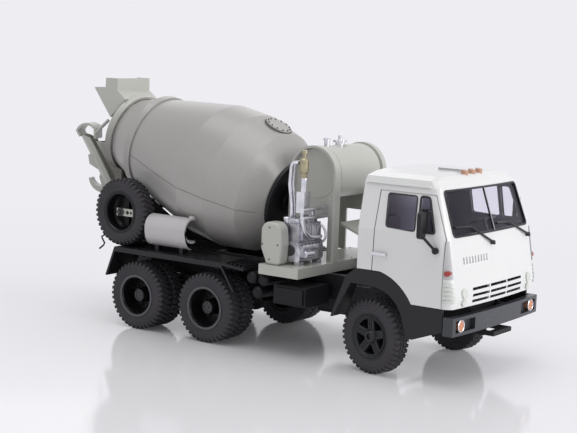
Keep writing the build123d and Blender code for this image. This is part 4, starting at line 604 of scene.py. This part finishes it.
door_glass = [(3.4, 47.0), (13.6, 46.5), (13.0, 57.0), (2.8, 57.1)]
quarter_glass = [(14.7, 46.5), (20.6, 46.6), (17.3, 57.0), (14.2, 57.1)]
waist_z, glass_height = 45.8, 13.8
waist_half, side_lean = 28.2, 2.8
waist_front, screen_lean = 25.7, 4.8
seal_proud, strip_proud = 0.02, 0.3
glass_corner = 0.9
strip_top, strip_radius = 58.8, 0.16
side_seals = [
    # label, outline, radius
    ("door", door_glass, 0.22),
    ("quarter", quarter_glass, 0.34),
]
seal_black = sprayed("seal_black", "1a1a1c", "232326", 0.5, 0.15)
for side, hand in ((-1, "right"), (1, "left")):
    for label, outline, r in side_seals:
        x, z = rounded_loop(outline, glass_corner).T
        y = side * (waist_half - (z - waist_z) * side_lean / glass_height + seal_proud)
        ring = piped(np.stack([x, y, z], 1), r, 8, (0, 1, 0), closed=True)
        seal = surface(f"{hand}_{label}_seal", ring, closed_u=True, closed_v=True)
        finish_in(seal_black, seal)
        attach(seal, "truck")
screen_z = np.linspace(waist_z, strip_top, 12)
screen_x = waist_front - (screen_z - waist_z) * screen_lean / glass_height + strip_proud
strip_path = np.stack([screen_x, 0 * screen_z, screen_z], 1)
strip = surface("screen_strip", piped(strip_path, strip_radius, 8, (0, 1, 0)), closed_v=True)
pale_strip = sprayed("pale_strip", "b9b9c0", "a9a9b0", 0.25, 0.1)
finish_in(pale_strip, strip)
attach(strip, "truck")

# Cab fittings. Black plastic fenders, mirror arms and wipers, a dark grey bumper, pale grey corner
# deflectors and roof strip, and bright plated handles. All are moulded and pressed in.
fender_black = sprayed("fender_black", "17171a", "212124", 0.3, 0.12, Specular_IOR_Level=0.35)
finish_in(fender_black, "front_fenders", "rear_fenders", "mirrors", "windscreen_trim")
bumper_grey = sprayed("bumper_grey", "3d3f45", "33353a", 0.3, 0.1)
finish_in(bumper_grey, "bumper")
corner_grey = sprayed("corner_grey", "c4c4c6", "bababd", 0.3, 0.1)
finish_in(corner_grey, "corner_deflectors", "roof_strip")
silver = sprayed("bright_metal", "ededf2", "c9c9d0", 0.2, 0.15, patches=300.0, Metallic=0.9)
finish_in(silver, "tank_caps", "door_handles", "engine_pipes")

# Lamps. Clear, orange and red lenses of fluted plastic, pushed into their holes, and a bright ring
# round each lamp in the bumper.
flute_scale, flute_depth = 700.0, 0.05
ring_profile = [(-0.2, 1.95), (0.25, 1.95), (0.35, 1.8), (0.25, 1.6), (-0.2, 1.6)]
ring_places = [(28.3, y, 19.15) for y in (-23.4, 23.4)]


def fluted_lens(name, paint, shade):
    """A lamp lens: the sprayed coat under gloss, with fine upright flutes in its relief."""
    look = sprayed(name, paint, shade, 0.14, 0.05, Coat_Weight=0.6)
    tree = look.node_tree
    place = tree.nodes.new("ShaderNodeTexCoord").outputs["Object"]
    flutes = linked(tree, "ShaderNodeTexWave", Vector=place, Scale=flute_scale)
    flutes.bands_direction = "Y"
    bump = linked(tree, "ShaderNodeBump", Height=flutes.outputs["Fac"], Strength=0.5,
                  Distance=flute_depth * mm)
    tree.links.new(bump.outputs["Normal"], tree.nodes["Principled BSDF"].inputs["Normal"])
    return look


finish_in(fluted_lens("orange_lens", "d98a5a", "c97848"), "bumper_lamps")
finish_in(fluted_lens("roof_orange_lens", "cf9f84", "bd8d72"), "roof_lamps")
finish_in(fluted_lens("red_lens", "a82a24", "98241e"), "side_lamps")
finish_in(fluted_lens("clear_lens", "dfe3dd", "cdd1cb"), "corner_lamps", "front_lamps")

lamp_rings = surface("lamp_rings", placed(turned(ring_profile, 32), ring_places, (1, 0, 0)),
                     closed_u=True, closed_v=True)
finish_in(silver, lamp_rings)
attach(lamp_rings, "truck")

# Mirrors. A slightly domed plate of silvered glass lies in the back of each mirror's housing. It is
# pressed in, with its rim under the housing's lip.
mirror_outline = rounded_loop([(-1.35, -3.85), (1.35, -3.85), (1.35, 3.85), (-1.35, 3.85)], 1.0)
mirror_x, mirror_y, mirror_z = 16.98, 31.2, 49.1
mirror_dome, mirror_rim = 0.25, 0.3


def mirror_glass(side):
    """A slightly domed plate: rings of the outline at falling scale, as high as dome (1 - scale^2)."""
    scale = np.linspace(1, 0, 6)[:, None]
    y = mirror_outline[:, 0] * scale
    z = mirror_outline[:, 1] * scale
    x = mirror_x - mirror_dome * (1 - scale ** 2) + 0 * y
    grid = np.stack([x, side * mirror_y + y, mirror_z + z], -1)
    rim = grid[:1] + (mirror_rim, 0, 0)
    return in_frame(np.concatenate([rim, grid])[None])


mirror_faces = surface("mirror_faces", np.concatenate([mirror_glass(-1), mirror_glass(1)]), closed_v=True)
silvered = sprayed("silvered_glass", "d9dce2", "d3d6dc", 0.04, 0.02, Metallic=1.0)
finish_in(silvered, mirror_faces)
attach(mirror_faces, "truck")

# Platform, water tank and arches. Folded sheet and a drawn tank sprayed one light grey. Bolts hold
# the platform and the arch plates down, and a rolled bead closes the tank's right end.
light_grey = sprayed("light_grey", "c8c8c2", "bebeb8", 0.32, 0.1, patches=40.0)
finish_in(light_grey, "engine_platform", "engine_cover", "water_tank", "tank_arches")

bead_profile = [(-0.15, 8.2), (0.1, 8.22), (0.16, 8.32), (0.1, 8.44), (-0.15, 8.46), (-0.15, 8.2)]
platform_bolt_places = [(x, y, 29.35) for x in (-43.6, -30.6) for y in (-25.4, -6.6, 6.6, 25.4)]
arch_bolt_places = [(x, -5.05, z) for x in (-46.4, -30.6) for z in (31.4, 33.6, 47.0, 56.0)]
platform_bits = [
    # name, shape, places, direction
    ("platform_bolts", turned(bolt_profile, 6), platform_bolt_places, (0, 0, 1)),
    ("tank_end_bead", turned(bead_profile, 96), [(-38.5, -5.0, 58.4)], (0, -1, 0)),
    ("arch_bolts", turned(bolt_profile, 6), arch_bolt_places, (0, -1, 0)),
]
for name, shape, places, direction in platform_bits:
    bit = surface(name, placed(shape, places, direction), closed_v=True)
    finish_in(light_grey, bit)
    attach(bit, "truck")

# Drive engine. A block in bright plated plastic with a dark wash in random patches, and a brass-coloured
# air filter. Fins, covers, pulleys, starter and filler are small mouldings glued on.
plated = sprayed("plated_engine", "ededf4", "84848e", 0.22, 0.2, patches=420.0, Metallic=0.65)
finish_in(plated, "drive_engine")
brass = sprayed("filter_brass", "bdb396", "8f8870", 0.35, 0.15, patches=300.0, Metallic=0.8)
finish_in(brass, "engine_filter")

engine_front, engine_top, engine_right = -33.6, 43.0, -26.15
fin_places = [(engine_front + 0.5, y, 40.4) for y in -19.6 + 1.35 * np.arange(8)]
rocker_places = [(-36.2, y, engine_top + 0.6) for y in (-17.6, -11.8)]
sump_bolt_places = [(-32.7, y, 36.2) for y in -20.4 + 2.0 * np.arange(6)]
cover_bolt_places = [(x, engine_right, z) for x, z in ((-41.6, 41.6), (-44.3, 36.0), (-38.2, 36.2),
                                                       (-41.4, 31.2))]
starter_profile = [(-2.4, 0), (-2.4, 1.0), (-2.2, 1.2), (1.2, 1.2), (1.3, 0.9), (2.4, 0.9), (2.6, 0.6),
                   (2.6, 0)]
pulley_profile = [(-0.3, 0), (-0.3, 1.7), (-0.15, 1.8), (0, 1.4), (0.15, 1.8), (0.3, 1.7), (0.3, 0)]
pulley_places = [(-36.4, -21.6, 34.2), (-38.6, -21.6, 40.4)]
neck_profile = [(-0.2, 0.9), (0.9, 0.9), (1.0, 1.15), (1.7, 1.15), (1.85, 1.0), (1.85, 0)]
engine_bits = [
    # name, shape, places, direction, material
    ("cylinder_fins", block(4.6, 0.5, 1.0, 0.15), fin_places, (0, 0, 1), plated),
    ("rocker_covers", block(5.6, 3.4, 1.6, 0.4), rocker_places, (0, 1, 0), plated),
    ("sump_bolts", turned(bolt_profile, 6), sump_bolt_places, (1, 0, 0), hub_grey),
    ("cover_bolts", turned(bolt_profile, 6), cover_bolt_places, (0, -1, 0), hub_grey),
    ("starter_motor", turned(starter_profile, 20), [(-32.2, -17.2, 33.0)], (0, 1, 0), silver),
    ("belt_pulleys", turned(pulley_profile, 28), pulley_places, (0, 1, 0), hub_grey),
    ("filler_neck", turned(neck_profile, 20), [(-39.4, -19.8, engine_top)], (0, 0, 1), silver),
]
for name, shape, places, direction, look in engine_bits:
    bit = surface(name, placed(shape, places, direction), closed_v=True)
    finish_in(look, bit)
    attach(bit, "truck")

# Engine pipes. Bright plated tubes bent in one sweep: the manifold, an oil pipe and two short
# stacks. Each is pushed in at its foot.
pipe_runs = {
    # name: radius, the curve's four points
    "manifold_pipe": (0.75, ((-32.9, -20.4, 44.4), (-31.6, -20.6, 39.0), (-32.0, -18.0, 38.4),
                             (-32.6, -10.0, 38.2))),
    "oil_pipe": (0.4, ((-33.0, -9.4, 36.0), (-30.4, -9.4, 36.4), (-30.2, -9.2, 40.6),
                       (-33.2, -9.4, 42.2))),
    "stack_pipe_front": (0.4, ((-35.6, -15.4, 52.9), (-35.2, -15.4, 58.0), (-37.2, -14.6, 60.0),
                               (-37.0, -14.9, 62.4))),
    "stack_pipe_rear": (0.4, ((-37.4, -14.4, 52.9), (-37.2, -14.2, 57.0), (-38.8, -13.6, 59.0),
                              (-38.0, -14.4, 62.0))),
}
slanting_up = (0.3, 1, 0.2)


def bent(points, steps=16):
    """A cubic curve from the first point to the last, pulled by the two between them:
    a (1 - t)^3 + 3 b t (1 - t)^2 + 3 c t^2 (1 - t) + d t^3."""
    a, b, c, d = np.array(points, float)
    t = np.linspace(0, 1, steps)[:, None]
    return a * (1 - t) ** 3 + 3 * b * t * (1 - t) ** 2 + 3 * c * t ** 2 * (1 - t) + d * t ** 3


for name, (r, points) in pipe_runs.items():
    pipe = surface(name, piped(bent(points), r, 12, slanting_up), closed_v=True)
    finish_in(silver, pipe)
    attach(pipe, "truck")

# Drum. A rolled and welded shell sprayed satin grey, with a weld seam along its side and a rolling
# band. It turns as one with its front ring.
drum_tilt = radians(13.94)
drum_front_x, drum_front_z = -55, 48.44
drum_profile = np.array([(-2.6, 13.4), (4.4, 21.4), (16.2, 24.3), (28.5, 24.1), (58.4, 17.2), (70.2, 13.4)])
drum_grey = sprayed("drum_grey", "b1afac", "a8a6a4", 0.3, 0.1, patches=25.0)
finish_in(drum_grey, "drum_shell", "drum_band")


def on_drum(s, r, turn):
    """Points at distance s along the drum's axis, radius r and a turn from the top towards the right:
    the axis runs back and up by the tilt, and r cos(turn) stands square to it."""
    high, across = r * np.cos(turn), -r * np.sin(turn)
    return np.stack([drum_front_x - s * cos(drum_tilt) + high * sin(drum_tilt), across + 0 * s,
                     drum_front_z + s * sin(drum_tilt) + high * cos(drum_tilt)], -1)


seam_stops = [-0.5, 3.0, 7.5, 16.0, 28.6, 42.0, 56.8]
seam_degrees = [106, 103, 101.8, 100.8, 101.6, 101.4, 99]
seam_radius = 0.07
seam_s = np.linspace(seam_stops[0], seam_stops[-1], 60)
seam_r = np.interp(seam_s, *drum_profile.T)
seam_turn = np.radians(np.interp(seam_s, seam_stops, seam_degrees))
seam = surface("drum_seam", piped(on_drum(seam_s, seam_r, seam_turn), seam_radius, 6), closed_v=True)
dark_wash = sprayed("dark_wash", "4a4946", "3d3c3a", 0.6, 0.1)
finish_in(dark_wash, seam)
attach(seam, "drum")

# Drum hatch. A round lid on the front cone, held by twelve bolts, with dark wash in the joint
# round it. The lid itself is part of the shell.
hatch_s, hatch_r, hatch_lift = 9.2, 22.58, 0.55
cone_run, cone_rise = drum_profile[2] - drum_profile[1]
hatch_slope = drum_tilt + np.arctan2(cone_rise, cone_run)
hatch_up = np.array([sin(hatch_slope), 0, cos(hatch_slope)])
hatch_along = np.array([-cos(hatch_slope), 0, sin(hatch_slope)])
hatch_middle = on_drum(np.array(hatch_s), hatch_r, 0.0) + hatch_up * hatch_lift
bolt_count, bolt_circle = 12, 4.05
bolt_turn = np.arange(bolt_count) * pi / (bolt_count / 2)
bolt_spread = np.cos(bolt_turn)[:, None] * hatch_along + np.sin(bolt_turn)[:, None] * (0, 1, 0)
bolt_places = hatch_middle + bolt_circle * bolt_spread
hatch_bolts = surface("hatch_bolts", placed(turned(bolt_profile, 6), bolt_places, hatch_up), closed_v=True)
joint_profile = [(-0.03, 4.72), (0.03, 4.75), (0.05, 4.85), (-0.2, 5.0), (-0.3, 4.8)]
joint_sink = 0.42
joint_grid = placed(turned(joint_profile, 64), hatch_middle - hatch_up * joint_sink, hatch_up)
hatch_joint = surface("hatch_joint", joint_grid, closed_u=True, closed_v=True)
for piece in (hatch_bolts, hatch_joint):
    finish_in(dark_wash, piece)
    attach(piece, "drum")

# Collar, hopper and chute. Folded sheet in the same grey as the tank, like the spare wheel's clamp.
# The collar's funnel under the drum's mouth carries painted shade: it is darkened towards the bottom, and
# the shade fades upwards.
finish_in(light_grey, "charging_hopper", "discharge_chute", "spare_clamp")
painted_shade_low, painted_shade_high = 55 * mm, 76 * mm
painted_shade_share = 0.85
funnel_painted_shade = sprayed("collar_painted_shade", "c8c8c2", "bebeb8", 0.34, 0.12, patches=40.0)
tree = funnel_painted_shade.node_tree
# Painted shade: the funnel's grey is darkened towards the bottom, where it lies in shadow under the drum's
# mouth.
low = linked(tree, "ShaderNodeMapRange", Value=along(tree, "Z"), From_Min=painted_shade_low,
             From_Max=painted_shade_high, To_Min=painted_shade_share, To_Max=0.0).outputs[0]
over_coat(funnel_painted_shade, low, colour_of("4b483f"))
finish_in(funnel_painted_shade, "mouth_collar")

# Stored trough. A rolled sheet sprayed pale grey on black feet, held by two screws. Its lower edge
# hangs down in an apron, a thin bent sheet of the same finish.
feet_top = 31.6 * mm
trough_grey = sprayed("trough_grey", "cfccce", "c4c1c3", 0.34, 0.1, patches=40.0)
feet = math(trough_grey.node_tree, "LESS_THAN", along(trough_grey.node_tree, "Z"), feet_top)
over_coat(trough_grey, feet, colour_of("1a191c"))
finish_in(trough_grey, "rolled_trough")

apron_skin = [(-26.35, 36.4), (-26.38, 34.6), (-26.0, 32.6), (-25.1, 30.9), (-23.8, 29.9), (-22.6, 29.6)]
apron_wall = (0.3, 0.25)
apron_back = [(y + apron_wall[0], z + apron_wall[1]) for y, z in apron_skin[::-1]]
apron_rear, apron_front = -95.3, -77.3
apron = surface("trough_apron", plate(np.array(apron_skin + apron_back), apron_rear, apron_front, 0),
                closed_v=True)
apron_grey = sprayed("apron_grey", "cfccce", "c4c1c3", 0.34, 0.1, patches=40.0)
finish_in(apron_grey, apron)
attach(apron, "truck")

screw_places = [(-93.1, -24.7, 30.5), (-79.7, -24.7, 30.5)]
screws = surface("trough_screws", placed(turned(bolt_profile, 6), screw_places, (0, -1, -0.6)),
                 closed_v=True)
finish_in(silver, screws)
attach(screws, "truck")

# Spare wheel's fixings, fender bolts and hook. Two bolts and a stud with its nut hold the spare's
# clamp, small bolts hold the rear fenders' edges, and a bent wire hook hangs from the rear frame.
stud_nut_profile = [(-0.4, 1.5), (0.5, 1.5), (0.7, 1.2), (0.7, 0.8), (1.2, 0.7), (1.2, 0)]
clamp_bolt_places = [(-103.0, -25.05, 39.9), (-104.7, -25.05, 39.9)]
fender_bolt_places = [(x, y, 27.95) for x in np.arange(-104.0, -60.0, 6.0) for y in (-27.4, 27.4)]
rear_bits = [
    # name, shape, places, direction, material
    ("clamp_bolts", turned(bolt_profile, 6), clamp_bolt_places, (0, -1, 0), dark_wash),
    ("stud_nut", turned(stud_nut_profile, 6), [(-107.6, -25.3, 39.9)], (0, -1, 0), hub_grey),
    ("fender_bolts", turned(bolt_profile, 6), fender_bolt_places, (0, 0, 1), fender_black),
]
for name, shape, places, direction, look in rear_bits:
    bit = surface(name, placed(shape, places, direction), closed_v=True)
    finish_in(look, bit)
    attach(bit, "truck")

hook_path = [(-111.5, -21.0, 30.6), (-116.0, -21.0, 30.4), (-119.0, -21.3, 30.1), (-119.2, -22.4, 29.6),
             (-119.0, -22.2, 28.8), (-119.0, -21.1, 27.2), (-119.0, -21.6, 26.4), (-119.0, -23.7, 25.4)]
hook_radius = 0.3
hook = surface("spare_hook", piped(hook_path, hook_radius, 10, (1, 0.2, 0.1)), closed_v=True)
finish_in(frame_black, hook)
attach(hook, "truck")
